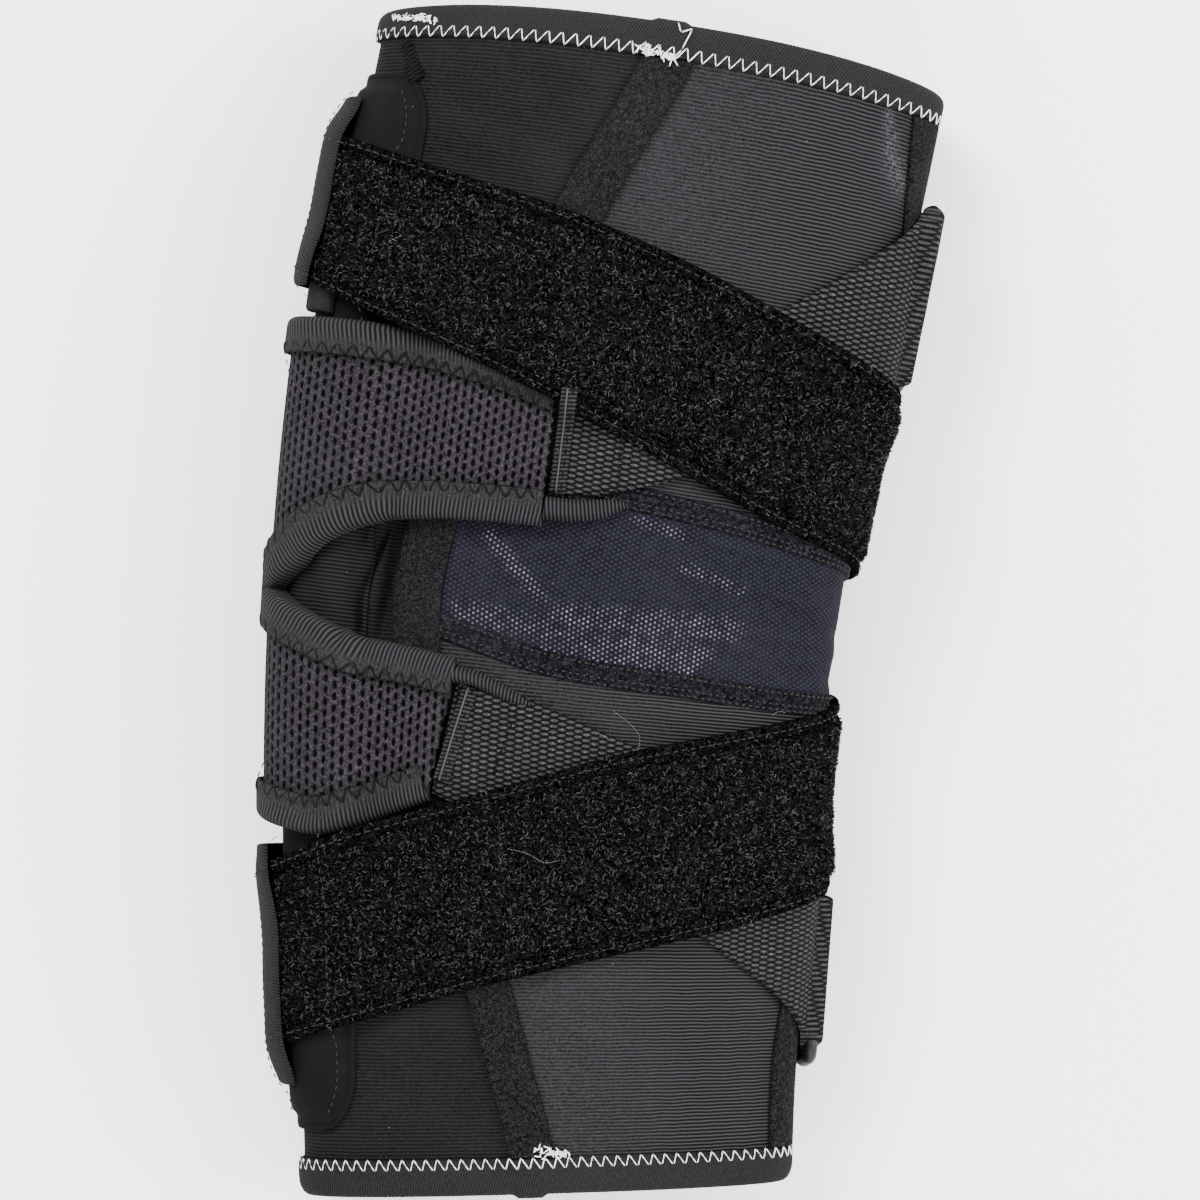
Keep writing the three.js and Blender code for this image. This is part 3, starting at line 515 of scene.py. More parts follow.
def tape(name, seam):
    def place(a, b, level):
        t = b / LENGTH
        edge_in = TAPE["wide"] / 2 - np.abs(a)
        h = TAPE["over"] + level * TAPE["thick"] * (0.3 + 0.7 * rounded(edge_in, 1.0))
        return spot(seam(t) + a / GIRTH, t, h)
    half = TAPE["wide"] / 2
    piece = cloth(name, lines(-half, half, 1.1, 1.0), lines(*TAPE_ENDS, 1.2), place, [name])
    a, b = np.meshgrid(np.linspace(-half, half, 40), np.linspace(*TAPE_ENDS, 700))
    lay(seam(b / LENGTH) + a / GIRTH, b / LENGTH, TAPE["over"] + TAPE["thick"])
    return piece


tape_left = tape("seam_tape_left", left_seam)
tape_right = tape("seam_tape_right", right_seam)

# %% [markdown]
# ## Stay pockets
# On each side a soft cover holds a flexible stay. It stands up over the stay and is sewn down flat round
# its rounded ends. The cover is one cut of cloth whose height rises from the sewn rim.

# %% Stay pockets
POCKET = {"start": 0.052, "end": 0.942, "wide": 37, "rim": 5, "rim_thick": 1.2, "round": 17}
POCKETS = {
    "stay_pocket_left": {"middle": 0.034, "height": [3.4, 4.6, 6.8, 5.8, 3.4]},
    "stay_pocket_right": {"middle": 0.636, "height": [2.4, 2.8, 4.4, 2.8, 2.4]},
}
POCKET_LONG = (POCKET["end"] - POCKET["start"]) * LENGTH


def pocket_spot(name, side, along):
    """Girth and length shares of a pocket, side from -1 to 1 and along in millimetres."""
    end = np.minimum(along, POCKET_LONG - along)
    narrow = np.sqrt(np.clip(1 - (1 - np.clip(end / POCKET["round"], 0, 1)) ** 2, 0, 1))
    width = (0.3 + 0.7 * narrow) * POCKET["wide"] / 2
    return POCKETS[name]["middle"] + side * width / GIRTH, POCKET["start"] + along / LENGTH, end, width


def pocket_top(name, side, along, rest):
    """Height of the cover's face above the sleeve."""
    g, t, end, width = pocket_spot(name, side, along)
    edge_in = np.minimum((1 - np.abs(side)) * width, end)
    dome = rounded(edge_in - POCKET["rim"] + 1.2, 8.5)
    rim = POCKET["rim_thick"] * (0.35 + 0.65 * rounded(edge_in, 1.0))
    rim = rim - 0.4 * np.exp(-((edge_in - 2.0) / 0.45) ** 2) - 0.45 * np.exp(-((edge_in - 4.4) / 0.5) ** 2)
    high = np.maximum(0, through(POCKETS[name]["height"], t) - POCKET["rim_thick"])
    return g, t, rest(g, t) + 0.6 + rim + high * dome


def pocket(name):
    rest = drape(2)

    def place(a, b, level):
        g, t, top = pocket_top(name, a, b, rest)
        low = rest(g, t) + 0.6
        return pressed(spot(g, t, low + (top - low) * level), level)

    ends = np.array([0, 0.2, 0.5, 0.9, 1.4, 2, 2.7, 3.5, 4.4, 5.4, 6.5, 8, 9.5, 11, 13, 15])
    along = np.concatenate([ends, lines(17, POCKET_LONG - 17, 2.4), POCKET_LONG - ends[::-1]])
    across = lines(-1, 1, 0.045, 0.07)
    width = POCKET["wide"] / 2
    piece = cloth(name, across, along, place, [name], flat=lambda a, b: (a * width, b))
    side, d = np.meshgrid(np.linspace(-1, 1, 90), np.linspace(0, POCKET_LONG, 900))
    lay(*pocket_top(name, side, d, rest))
    return piece


pocket_left = pocket("stay_pocket_left")
pocket_right = pocket("stay_pocket_right")

# %% [markdown]
# ## Kneecap frame
# The frame is spacer mesh: two knitted faces held apart by fine threads, with a staggered pattern of
# long holes in the face. It wraps the front, has a round opening for the kneecap, and ends in two arms
# with an open notch between them. Its outline is drawn as lines of places; the grid is cut to that
# outline, and each hole is a dimple in the grid, so the pattern and the grid share one spacing.

# %% Outline of the frame
FRAME_THICK = 4.4
FRAME_HIGH = [(-0.285, 0.590), (-0.273, 0.630), (-0.245, 0.672), (-0.180, 0.700), (-0.080, 0.708),
              (0.000, 0.709), (0.069, 0.714), (0.119, 0.715), (0.170, 0.708), (0.218, 0.696)]
FRAME_LOW = [(-0.285, 0.410), (-0.273, 0.370), (-0.245, 0.333), (-0.180, 0.315), (-0.080, 0.314),
             (0.000, 0.316), (0.066, 0.303), (0.102, 0.317), (0.147, 0.338)]
NOTCH_HIGH = [(0.006, 0.491), (0.022, 0.503), (0.038, 0.519), (0.056, 0.539), (0.074, 0.553),
              (0.100, 0.566), (0.143, 0.573), (0.180, 0.576), (0.218, 0.578)]
NOTCH_LOW = [(0.006, 0.491), (0.024, 0.482), (0.042, 0.474), (0.062, 0.466), (0.086, 0.456),
             (0.130, 0.452), (0.1625, 0.447)]


def drawn(points, spacing=1.0, soft=5):
    """A line of places drawn smoothly through points, its ends kept, spacing in millimetres."""
    xy = np.array(points, float) * (GIRTH, LENGTH)
    arc = np.concatenate([[0], np.cumsum(np.hypot(*np.diff(xy, axis=0).T))])
    count = max(4, int(arc[-1] / spacing))
    s = np.linspace(0, arc[-1], count + 1)
    line = np.stack([np.interp(s, arc, xy[:, k]) for k in (0, 1)], -1)
    padded = np.concatenate([2 * line[:1] - line[soft:0:-1], line, 2 * line[-1:] - line[-2:-soft - 2:-1]])
    window = np.ones(2 * soft + 1) / (2 * soft + 1)
    line = np.stack([np.convolve(padded[:, k], window, "valid") for k in (0, 1)], -1)
    return line / (GIRTH, LENGTH)


frame_front = [(-0.285, 0.5)]
edge_top = drawn(frame_front + FRAME_HIGH)
edge_bottom = drawn(frame_front + FRAME_LOW)
edge_notch = drawn(NOTCH_LOW[::-1] + NOTCH_HIGH[1:], soft=2)
frame_outline = np.concatenate([edge_bottom, edge_notch, edge_top[::-1]])


def inside(outline, g, t):
    """True for places inside a closed outline."""
    found = np.zeros(g.shape, bool)
    for (g0, t0), (g1, t1) in zip(outline, np.roll(outline, -1, 0)):
        if t0 != t1:
            found ^= ((t0 > t) != (t1 > t)) & (g < (g1 - g0) * (t - t0) / (t1 - t0) + g0)
    return found


print("frame outline:", len(frame_outline), "places")

# %% Spacer mesh
HOLE = {"across": 4.6, "along": 3.1, "wide": 0.56, "long": 1.12, "deep": 1.0}
FRAME_TABLE = 1.7
frame_rest = drape(7)
frame_low = lambda g, t: frame_rest(g, t) + 0.6
frame_top = lambda g, t: frame_low(g, t) + FRAME_THICK


def hole_depth(a, b):
    """1 in the middle of a hole of the mesh, 0 between the holes; a and b in millimetres."""
    depth = np.zeros(a.shape)
    for shift in (0, 0.5):
        x = (a / HOLE["across"] + shift + 0.5) % 1 - 0.5
        y = (b / HOLE["along"] + shift + 0.5) % 1 - 0.5
        away = np.hypot(x * HOLE["across"] / HOLE["wide"], y * HOLE["along"] / HOLE["long"])
        depth = np.maximum(depth, np.clip(1.25 - away, 0, 1))
    return depth


def frame_place(a, b, level):
    g, t = a / GIRTH, b / LENGTH
    g, t = to_circle(g, t, OPENING + 0.2, 0.7)
    h = frame_low(g, t) + level * (FRAME_THICK - HOLE["deep"] * hole_depth(a, b))
    return pressed(spot(g, t, h), level, FRAME_TABLE)


def frame_keep(a, b):
    g, t = a / GIRTH, b / LENGTH
    return inside(frame_outline, g, t) & (from_kneecap(g, t) > OPENING + 0.2)


across = np.arange(-138, 108) * HOLE["across"] / 6
along = np.arange(int(98 / 0.775), int(240 / 0.775)) * HOLE["along"] / 4
mesh_frame = cloth("patella_frame_mesh", across, along, frame_place, ["patella_frame"],
                   frame_keep)

# %% [markdown]
# ## Bindings of the frame
# Every cut edge of the mesh is bound with the same ribbed strip as the hems, folded over the edge and
# stitched down. The strip follows the outline: at each station its width goes from the mesh face,
# round the edge and down the side.

# %% Frame bindings
BINDING = {"wide": 8.4, "skin": 1.4, "over": 0.8, "off": 0.5, "round": 2.6}


def across_line(line, closed=False):
    """Unit normals of a line of places, to its left, in millimetres."""
    xy = line * (GIRTH, LENGTH)
    if closed:
        run = np.roll(xy, -1, 0) - np.roll(xy, 1, 0)
    else:
        run = np.gradient(xy, axis=0)
    run /= np.hypot(run[:, 0], run[:, 1])[:, None]
    return np.stack([-run[:, 1], run[:, 0]], -1)


def binding_top(g, t):
    return frame_top(g, t) + BINDING["over"] + BINDING["skin"]


def bound_edge(name, line, inward, closed=False):
    """Binding along a line of places; inward is 1 where the cloth lies left of the line."""
    normals = across_line(line, closed) * inward
    if closed:
        line, normals = np.concatenate([line, line[:1]]), np.concatenate([normals, normals[:1]])
    start = -BINDING["off"] - BINDING["skin"]
    radius = BINDING["round"]
    arc = math.pi / 2 * radius
    leg = BINDING["wide"] - start - radius
    drop = 4.2

    def place(a, b, level):
        i = np.rint(b).astype(int)
        inner = (1 - level) * BINDING["skin"] * (0.3 + 0.7 * rounded(a, 1.2))
        angle = np.clip((a - leg) / arc, 0, 1) * math.pi / 2
        side = np.where(a < leg, BINDING["wide"] - a, start + radius - (radius - inner) * np.sin(angle))
        middle, turn = line[i], normals[i]
        g, t = middle[:, 0] + turn[:, 0] * side / GIRTH, middle[:, 1] + turn[:, 1] * side / LENGTH
        top = binding_top(g, t)
        cut = np.where(level > 0.5, BINDING["skin"] * 0.65 * (1 - rounded(a, 1.2)), inner)
        h = np.where(a < leg, top - cut, top - radius + (radius - inner) * np.cos(angle))
        down = np.clip((a - leg - arc) / drop, 0, 1)
        low = frame_low(g, t)
        h = np.where(a > leg + arc, (1 - down) * (top - radius) + down * low, h)
        return pressed(spot(g, t, h), level)

    across = np.concatenate([[0, 0.3, 0.7, 1.3], lines(2.2, leg, 1.1), leg + arc * np.arange(1, 6) / 5,
                             leg + arc + drop * np.array([0.5, 1.0])])
    arc_b = lambda b: b * 1.0
    piece = cloth(name, across, np.arange(len(line)), place, [name], closed=closed,
                  flat=lambda a, b: (a, arc_b(b)))
    side = np.linspace(0, BINDING["wide"], 20)[:, None]
    g = line[None, :, 0] + normals[None, :, 0] * side / GIRTH
    t = line[None, :, 1] + normals[None, :, 1] * side / LENGTH
    lay(g, t, binding_top(g, t))
    return piece


def frame_lay():
    g, t = np.meshgrid(np.linspace(-0.285, 0.218, 700), np.linspace(0.30, 0.715, 420))
    on = inside(frame_outline, g, t) & (from_kneecap(g, t) > OPENING)
    lay(g[on], t[on], frame_top(g[on], t[on]))


web_rest = drape(7)
gusset_rest = drape(2)
frame_lay()
angles = np.linspace(0, 2 * math.pi, 190, endpoint=False)
round_kneecap = np.array(KNEECAP) + np.stack([OPENING * np.cos(angles) / GIRTH,
                                              OPENING * np.sin(angles) / LENGTH], -1)
binding_notch = bound_edge("frame_binding_notch", edge_notch, 1)
binding_high = bound_edge("frame_binding_top", edge_top, -1)
binding_low = bound_edge("frame_binding_bottom", edge_bottom, 1)
binding_round = bound_edge("patella_binding", round_kneecap, -1, closed=True)

# %% [markdown]
# ## Gusset
# A short doubled tab at the upper corner of the frame ties it to the sleeve.

# %% Gusset
GUSSET = {"start": -0.012, "end": 0.040, "low": 0.722, "high": 0.750, "thick": 2.2}


def gusset_place(a, b, level):
    g, t = a / GIRTH, b / LENGTH
    edge_in = np.minimum(np.minimum(a - GUSSET["start"] * GIRTH, GUSSET["end"] * GIRTH - a),
                         np.minimum(b - GUSSET["low"] * LENGTH, GUSSET["high"] * LENGTH - b))
    h = gusset_rest(g, t) + 0.6 + level * GUSSET["thick"] * (0.4 + 0.6 * rounded(edge_in, 1.2))
    return spot(g, t, h)


gusset = cloth("gusset_tab", lines(GUSSET["start"] * GIRTH, GUSSET["end"] * GIRTH, 0.9, 1.2),
               lines(GUSSET["low"] * LENGTH, GUSSET["high"] * LENGTH, 0.9, 1.2), gusset_place,
               ["frame_gusset"])

# %% [markdown]
# ## Webbings and rings
# From each arm of the frame a coarse elastic webbing runs slantwise to a plastic ring at the right
# fold. The webbing is cut between two lines of places, walked at even steps. The ring is a bent bar
# with rounded corners, and its long bars pass through the folded ends of webbing and strap.

# %% Webbings
WEB_THICK = 1.9
RING = {"long": 54, "wide": 13, "bar": 1.9, "corner": 4, "loop": 6.6, "loop_long": 7}
RINGS = {"ring_upper": ((0.520, 0.826), -12), "ring_lower": ((0.528, 0.178), 12)}
WEBS = {
    "webbing_upper": {
        "high": [(0.2205, 0.672), (0.260, 0.700), (0.300, 0.730), (0.378, 0.793), (0.428, 0.838),
                 (0.516, 0.907)],
        "low": [(0.2205, 0.600), (0.260, 0.606), (0.300, 0.622), (0.372, 0.660), (0.440, 0.708),
                (0.520, 0.760)],
        "ring": "ring_upper"},
    "webbing_lower": {
        "high": [(0.1665, 0.443), (0.226, 0.423), (0.315, 0.389), (0.380, 0.350), (0.450, 0.298),
                 (0.520, 0.248)],
        "low": [(0.1490, 0.338), (0.210, 0.312), (0.290, 0.272), (0.375, 0.224), (0.440, 0.176),
                (0.500, 0.112)],
        "ring": "ring_lower"},
}
LOOP_EDGE = RING["wide"] / 2 - RING["loop"] / 2


def ring_side(name, a, t):
    """Girth share of a line along a ring, a millimetres to its side, at length share t."""
    (g0, t0), tilt = RINGS[name]
    tilt = math.radians(tilt)
    return g0 + a / math.cos(tilt) / GIRTH + (t - t0) * LENGTH * math.tan(tilt) / GIRTH


def walker(points):
    """A line walked by the share of its drawn length."""
    xy = np.array(points, float)
    steps = np.hypot(*(np.diff(xy, axis=0) * (GIRTH, LENGTH)).T)
    arc = np.concatenate([[0], np.cumsum(steps)]) / steps.sum()
    return lambda s: (np.interp(s, arc, xy[:, 0]), np.interp(s, arc, xy[:, 1]))


def webbing(name):
    spec = WEBS[name]
    ended = lambda line: line[:-1] + [(ring_side(spec["ring"], -LOOP_EDGE, line[-1][1]), line[-1][1])]
    high, low = walker(ended(spec["high"])), walker(ended(spec["low"]))
    long, wide = 140, 30

    def where(a, b):
        s, f = a / long, b / wide
        (g0, t0), (g1, t1) = low(s), high(s)
        return g0 + (g1 - g0) * f, t0 + (t1 - t0) * f

    def place(a, b, level):
        g, t = where(a, b)
        edge_in = np.minimum(b, wide - b)
        looped = step_up(a, long - 11, long - 7)
        nose = rounded(long - a, 3.3)
        thick = (WEB_THICK + (RING["loop"] - WEB_THICK) * looped) * (0.4 + 0.6 * rounded(edge_in, 0.8))
        base = web_rest(g, t) + 0.6
        middle = base + RING["loop"] / 2
        h = base + level * thick
        h = np.where(a > long - 3.3, middle + (h - middle) * np.maximum(nose, 0.2), h)
        return pressed(spot(g, t, h), level)

    along = np.concatenate([lines(0, long - 4, 1.2), long - np.array([3.3, 2.7, 2.0, 1.2, 0.6, 0.2, 0])])
    piece = cloth(name, along, lines(0, wide, 1.0, 0.8), place, [name],
                  flat=lambda a, b: tuple(np.array(where(a, b)) * [[GIRTH], [LENGTH]]))
    a, b = np.meshgrid(np.linspace(0, long, 500), np.linspace(0, wide, 160))
    g, t = where(a, b)
    return piece, (g, t, web_rest(g, t) + 0.6 + WEB_THICK)


web_upper, web_upper_top = webbing("webbing_upper")
web_lower, web_lower_top = webbing("webbing_lower")

# %% Rings
def tube(name, middle, up, side, radius, stands_for=(), sides=14):
    """A closed hoop of round section through stations in millimetres."""
    count = len(middle)
    bm = bmesh.new()
    bmesh.ops.create_grid(bm, x_segments=sides, y_segments=count, size=1)
    for v in bm.verts:
        turn = math.pi * (v.co.x + 1)
        i = round((v.co.y + 1) / 2 * count) % count
        v.co = Vector((middle[i] + radius * (side[i] * math.cos(turn) + up[i] * math.sin(turn))) * MM)
    bmesh.ops.remove_doubles(bm, verts=bm.verts, dist=1e-6)
    bmesh.ops.recalc_face_normals(bm, faces=bm.faces)
    mesh = bpy.data.meshes.new(name)
    bm.to_mesh(mesh)
    bm.free()
    mesh.shade_smooth()
    print(f"{name}: {len(mesh.polygons)} faces")
    return finish_piece(name, mesh, stands_for)


def ring(name):
    """A bar of round section bent into a long ring that follows the sleeve."""
    (g0, t0), tilt = RINGS[name]
    tilt = math.radians(tilt)
    x, y, r = RING["wide"] / 2, RING["long"] / 2 - RING["bar"], RING["corner"]
    path = []
    for cx, cy, start in ((x - r, y - r, 0), (r - x, y - r, 90), (r - x, r - y, 180), (x - r, r - y, 270)):
        for turn in np.radians(start + np.linspace(0, 90, 7)):
            path.append((cx + r * math.cos(turn), cy + r * math.sin(turn)))
        if start in (90, 270):
            path += [(cx + (-r if cx < 0 else r), cy - 2 * cy * f) for f in np.linspace(0.08, 0.92, 12)]
    a, b = np.array(path).T
    g = g0 + (a * math.cos(tilt) + b * math.sin(tilt)) / GIRTH
    t = t0 + (b * math.cos(tilt) - a * math.sin(tilt)) / LENGTH
    middle = spot(g, t, web_rest(g, t) + 0.6 + RING["loop"] / 2)
    up = spot(g, t, 12) - spot(g, t, 2)
    up /= np.linalg.norm(up, axis=1)[:, None]
    run = np.roll(middle, -1, 0) - np.roll(middle, 1, 0)
    run /= np.linalg.norm(run, axis=1)[:, None]
    side = np.cross(run, up)
    return tube(name + "_bar", middle, up, side, RING["bar"], [name])


ring_upper = ring("ring_upper")
ring_lower = ring("ring_lower")
lay(*web_upper_top)
lay(*web_lower_top)

# %% [markdown]
# ## Fleece straps
# The two straps are the closing bands: a field of loop pile inside a stitched border. Each starts at its
# ring under the right fold, crosses the front, turns round the left fold and runs slantwise over the
# back to its plain end under the right fold. They bridge softly over everything beneath them. The
# border, its groove and the swell of the pile are in the shape; the pile itself comes as loops later.

# %% Straps
STRAP = {"thick": 2.4, "end": 0.615, "wide": 54, "border": 4.6}
STRAPS = {
    "strap_upper": {
        "high": [(-0.470, 0.898), (-0.350, 0.920), (-0.220, 0.935), (-0.100, 0.915), (0.000, 0.886),
                 (0.100, 0.861),
                 (0.200, 0.844), (0.300, 0.818), (0.400, 0.781), (0.500, 0.740), (0.560, 0.718),
                 (0.620, 0.702)],
        "low": [(-0.470, 0.752), (-0.350, 0.768), (-0.220, 0.780), (-0.100, 0.775), (0.000, 0.756),
                (0.100, 0.720),
                (0.200, 0.687), (0.300, 0.646), (0.400, 0.604), (0.500, 0.574), (0.560, 0.560),
                (0.620, 0.550)],
        "ring": "ring_upper", "seed": 3},
    "strap_lower": {
        "high": [(-0.470, 0.250), (-0.350, 0.232), (-0.220, 0.222), (-0.100, 0.238), (0.000, 0.262),
                 (0.100, 0.310),
                 (0.200, 0.345), (0.300, 0.385), (0.400, 0.415), (0.500, 0.447), (0.560, 0.460),
                 (0.620, 0.468)],
        "low": [(-0.470, 0.104), (-0.350, 0.080), (-0.220, 0.066), (-0.100, 0.084), (0.000, 0.118),
                (0.100, 0.148),
                (0.200, 0.178), (0.300, 0.203), (0.400, 0.230), (0.500, 0.266), (0.560, 0.285),
                (0.620, 0.297)],
        "ring": "ring_lower", "seed": 5},
}
STRAP_START = -0.467
STRAP_LONG = (STRAP["end"] - STRAP_START) * GIRTH


def lumps(a, b, scale, seed):
    """Soft seeded lumps between -1 and 1 over places in millimetres."""
    rng = np.random.default_rng(seed)
    grid = rng.uniform(-1, 1, (64, 64))
    x, y = a / scale, b / scale
    i, k = np.floor(x).astype(int), np.floor(y).astype(int)
    fx, fy = x - i, y - k
    fx, fy = fx * fx * (3 - 2 * fx), fy * fy * (3 - 2 * fy)
    at = lambda p, q: grid[p % 64, q % 64]
    return ((at(i, k) * (1 - fx) + at(i + 1, k) * fx) * (1 - fy)
            + (at(i, k + 1) * (1 - fx) + at(i + 1, k + 1) * fx) * fy)


strap_rest = drape(9)


def strap_where(name, a, b):
    """Girth and length shares of a strap, a along it and b across it in millimetres."""
    spec = STRAPS[name]
    high, low = drawn(spec["high"], 2.0, 6), drawn(spec["low"], 2.0, 6)
    g0 = STRAP_START + a / GIRTH
    f = b / STRAP["wide"]
    t = np.interp(g0, low[:, 0], low[:, 1]) * (1 - f) + np.interp(g0, high[:, 0], high[:, 1]) * f
    start = ring_side(spec["ring"], LOOP_EDGE, t) - 1 + a / GIRTH
    blend = step_up(a, 14, 50)
    return start * (1 - blend) + g0 * blend, t


def strap_low(name, a, g, t):
    near = step_up(a, 18, 34)
    return web_rest(g, t) * (1 - near) + strap_rest(g, t) * near + 0.6


def strap_edge(a, b):
    """Distance in millimetres from the edges of a strap, its free corners rounded."""
    side = np.minimum(b, STRAP["wide"] - b)
    end = STRAP_LONG - a
    corner = 9
    away = corner - np.hypot(np.maximum(0, corner - side), np.maximum(0, corner - end))
    return np.where((side < corner) & (end < corner), np.maximum(away, 0), np.minimum(side, end))


def strap_thick(name, a, b):
    """Thickness of a strap: border, groove and swelling pile."""
    side = strap_edge(a, b)
    border = 0.5 + 1.5 * rounded(side, 1.3)
    groove = 0.75 * np.exp(-((side - STRAP["border"]) / 0.7) ** 2)
    field = step_up(side, STRAP["border"], STRAP["border"] + 2.2)
    swell = 1.0 + 0.35 * lumps(a, b, 5.5, STRAPS[name]["seed"]) + 0.22 * lumps(a, b, 2.3,
                                                                               STRAPS[name]["seed"] + 1)
    loop = 1 - step_up(a, RING["loop_long"], RING["loop_long"] + 6)
    return border - groove + field * swell + loop * (RING["loop"] - STRAP["thick"])


def strap(name):
    def place(a, b, level):
        a = np.minimum(a, STRAP_LONG)
        g, t = strap_where(name, a, b)
        low = strap_low(name, a, g, t)
        h = low + level * strap_thick(name, a, b)
        middle = low + RING["loop"] / 2
        nose = np.maximum(rounded(a, 3.3), 0.2)
        h = np.where(a < 3.3, middle + (h - middle) * nose, h)
        return pressed(spot(g, t, h), level)

    def keep(a, b):
        return strap_edge(a, b) > 0.02

    along = np.concatenate([[0, 0.2, 0.6, 1.2, 2.0, 2.7, 3.3], lines(4.2, STRAP_LONG, 1.9)])
    edge = np.array([0, 0.2, 0.6, 1.3, 2.4, 3.4, 4.1, 4.6, 5.1, 5.8])
    across = np.concatenate([edge, lines(7, STRAP["wide"] - 7, 1.7), STRAP["wide"] - edge[::-1]])
    return cloth(name + "_fleece", along, across, place, [name], keep)


strap_upper = strap("strap_upper")
strap_lower = strap("strap_lower")


def strap_top(name, a, b):
    g, t = strap_where(name, a, b)
    return g, t, strap_low(name, a, g, t) + strap_thick(name, a, b)


for name in STRAPS:
    a, b = np.meshgrid(np.linspace(0, STRAP_LONG, 900), np.linspace(0, STRAP["wide"], 160))
    lay(*strap_top(name, a, b))

# %% [markdown]
# ## Keepers
# A narrow ribbed elastic loop holds each strap down at the left fold. Its ends turn in and are sewn.

# %% Keepers
KEEPER = {"thick": 1.4, "start": -0.052, "end": 0.030}
KEEPERS = {"keeper_upper": (0.742, 0.918), "keeper_lower": (0.090, 0.288)}
keeper_rest = drape(4)


def keeper(name):
    low, high = KEEPERS[name]
    start, end = KEEPER["start"] * GIRTH, KEEPER["end"] * GIRTH

    def place(a, b, level):
        g, t = a / GIRTH, b / LENGTH
        edge_in = np.minimum(np.minimum(a - start, end - a), np.minimum(b - low * LENGTH, high * LENGTH - b))
        h = keeper_rest(g, t) + 0.6 + level * KEEPER["thick"] * (0.35 + 0.65 * rounded(edge_in, 1.0))
        return pressed(spot(g, t, h), level)

    piece = cloth(name + "_loop", lines(start, end, 1.0, 1.0), lines(low * LENGTH, high * LENGTH, 1.1, 1.0),
                  place, [name])
    a, b = np.meshgrid(np.linspace(start, end, 80), np.linspace(low * LENGTH, high * LENGTH, 150))
    lay(a / GIRTH, b / LENGTH, keeper_rest(a / GIRTH, b / LENGTH) + 0.6 + KEEPER["thick"])
    return piece


keeper_upper = keeper("keeper_upper")
keeper_lower = keeper("keeper_lower")
surface = drape(0.3)

# %% [markdown]
# ## One stitch, many times
# Thread shows as a row of short arcs that dive into the cloth. One arc is modelled, doubled until there
# are enough, and each copy is then stretched between its two needle holes. The same maker scatters the
# loops of the pile.

# %% Repeating a small shape
def arc_shape(sides, steps, dip):
    """A thread from (0, 0, 0) to (1, 0, 0) of unit radius, arched up and closed at its ends."""
    bm = bmesh.new()
    bmesh.ops.create_grid(bm, x_segments=sides, y_segments=steps, size=1)
    for v in bm.verts:
        turn, s = math.pi * (v.co.x + 1), (v.co.y + 1) / 2
        thick = math.sqrt(max(0, 1 - (2 * s - 1) ** 6))
        rise = dip * (math.sin(math.pi * s) - 0.55)
        v.co = (s, thick * math.cos(turn), thick * math.sin(turn) + rise)
    bmesh.ops.remove_doubles(bm, verts=bm.verts, dist=1e-5)
    bmesh.ops.recalc_face_normals(bm, faces=bm.faces)
    return bm


def repeated(name, bm, origins, frames, tone=None):
    """Copies the small shape to each origin, in millimetres, turned and scaled by frames (x, y, z rows)."""
    size, wanted = len(bm.verts), len(origins)
    mesh = bpy.data.meshes.new(name)
    bm.to_mesh(mesh)
    bm.clear()
    bm.from_mesh(mesh)
    while len(bm.verts) < size * wanted:
        bmesh.ops.duplicate(bm, geom=bm.verts[:] + bm.edges[:] + bm.faces[:])
    bmesh.ops.delete(bm, geom=bm.verts[size * wanted:], context="VERTS")
    bm.to_mesh(mesh)
    bm.free()
    co = np.empty(3 * len(mesh.vertices), np.float32)
    mesh.vertices.foreach_get("co", co)
    co = co.reshape(wanted, size, 3)
    assert np.allclose(co, co[:1]), "copies keep the order of the first"
    placed = np.einsum("nvk,nkj->nvj", co, frames) + origins[:, None, :]
    placed[..., 2] = np.maximum(placed[..., 2], 0.1)
    mesh.vertices.foreach_set("co", (placed * MM).astype(np.float32).ravel())
    if tone is not None:
        layer = mesh.attributes.new("tone", "FLOAT", "POINT")
        layer.data.foreach_set("value", np.repeat(tone, size).astype(np.float32))
    mesh.update()
    mesh.shade_smooth()
    print(f"{name}: {wanted} copies, {len(mesh.polygons)} faces")
    return finish_piece(name, mesh)


def stitch(name, starts, ends, height, radius, slot, dip=0.9, sides=5, steps=5):
    """Arcs of thread from starts to ends, both rows of girth and length shares."""
    a = spot(starts[:, 0], starts[:, 1], height(starts[:, 0], starts[:, 1]))
    b = spot(ends[:, 0], ends[:, 1], height(ends[:, 0], ends[:, 1]))
    up = spot(starts[:, 0], starts[:, 1], 9) - spot(starts[:, 0], starts[:, 1], 1)
    up /= np.linalg.norm(up, axis=1)[:, None]
    run = b - a
    side = np.cross(up, run)
    side /= np.maximum(np.linalg.norm(side, axis=1), 1e-6)[:, None]
    frames = np.stack([run, side * radius, up * radius], 1)
    return repeated(name, arc_shape(sides, steps, dip), a, frames)


def zigzag(line, inward, near, far, pitch, lean=0.74):
    """Needle holes of a leaning zigzag that straddles a line of places, near and far from it in mm."""
    xy = line * (GIRTH, LENGTH)
    arc = np.concatenate([[0], np.cumsum(np.hypot(*np.diff(xy, axis=0).T))])
    normals = across_line(line) * inward
    count = int(arc[-1] / pitch)
    holes = []
    for shift, side in ((0.0, far), (lean, near)):
        s = (np.arange(count) + shift) * arc[-1] / count
        at = np.stack([np.interp(s, arc, xy[:, k]) + np.interp(s, arc, normals[:, k]) * side for k in (0, 1)],
                      -1)
        holes.append(at / (GIRTH, LENGTH))
    path = np.stack(holes, 1).reshape(-1, 2)
    return path[:-1], path[1:]


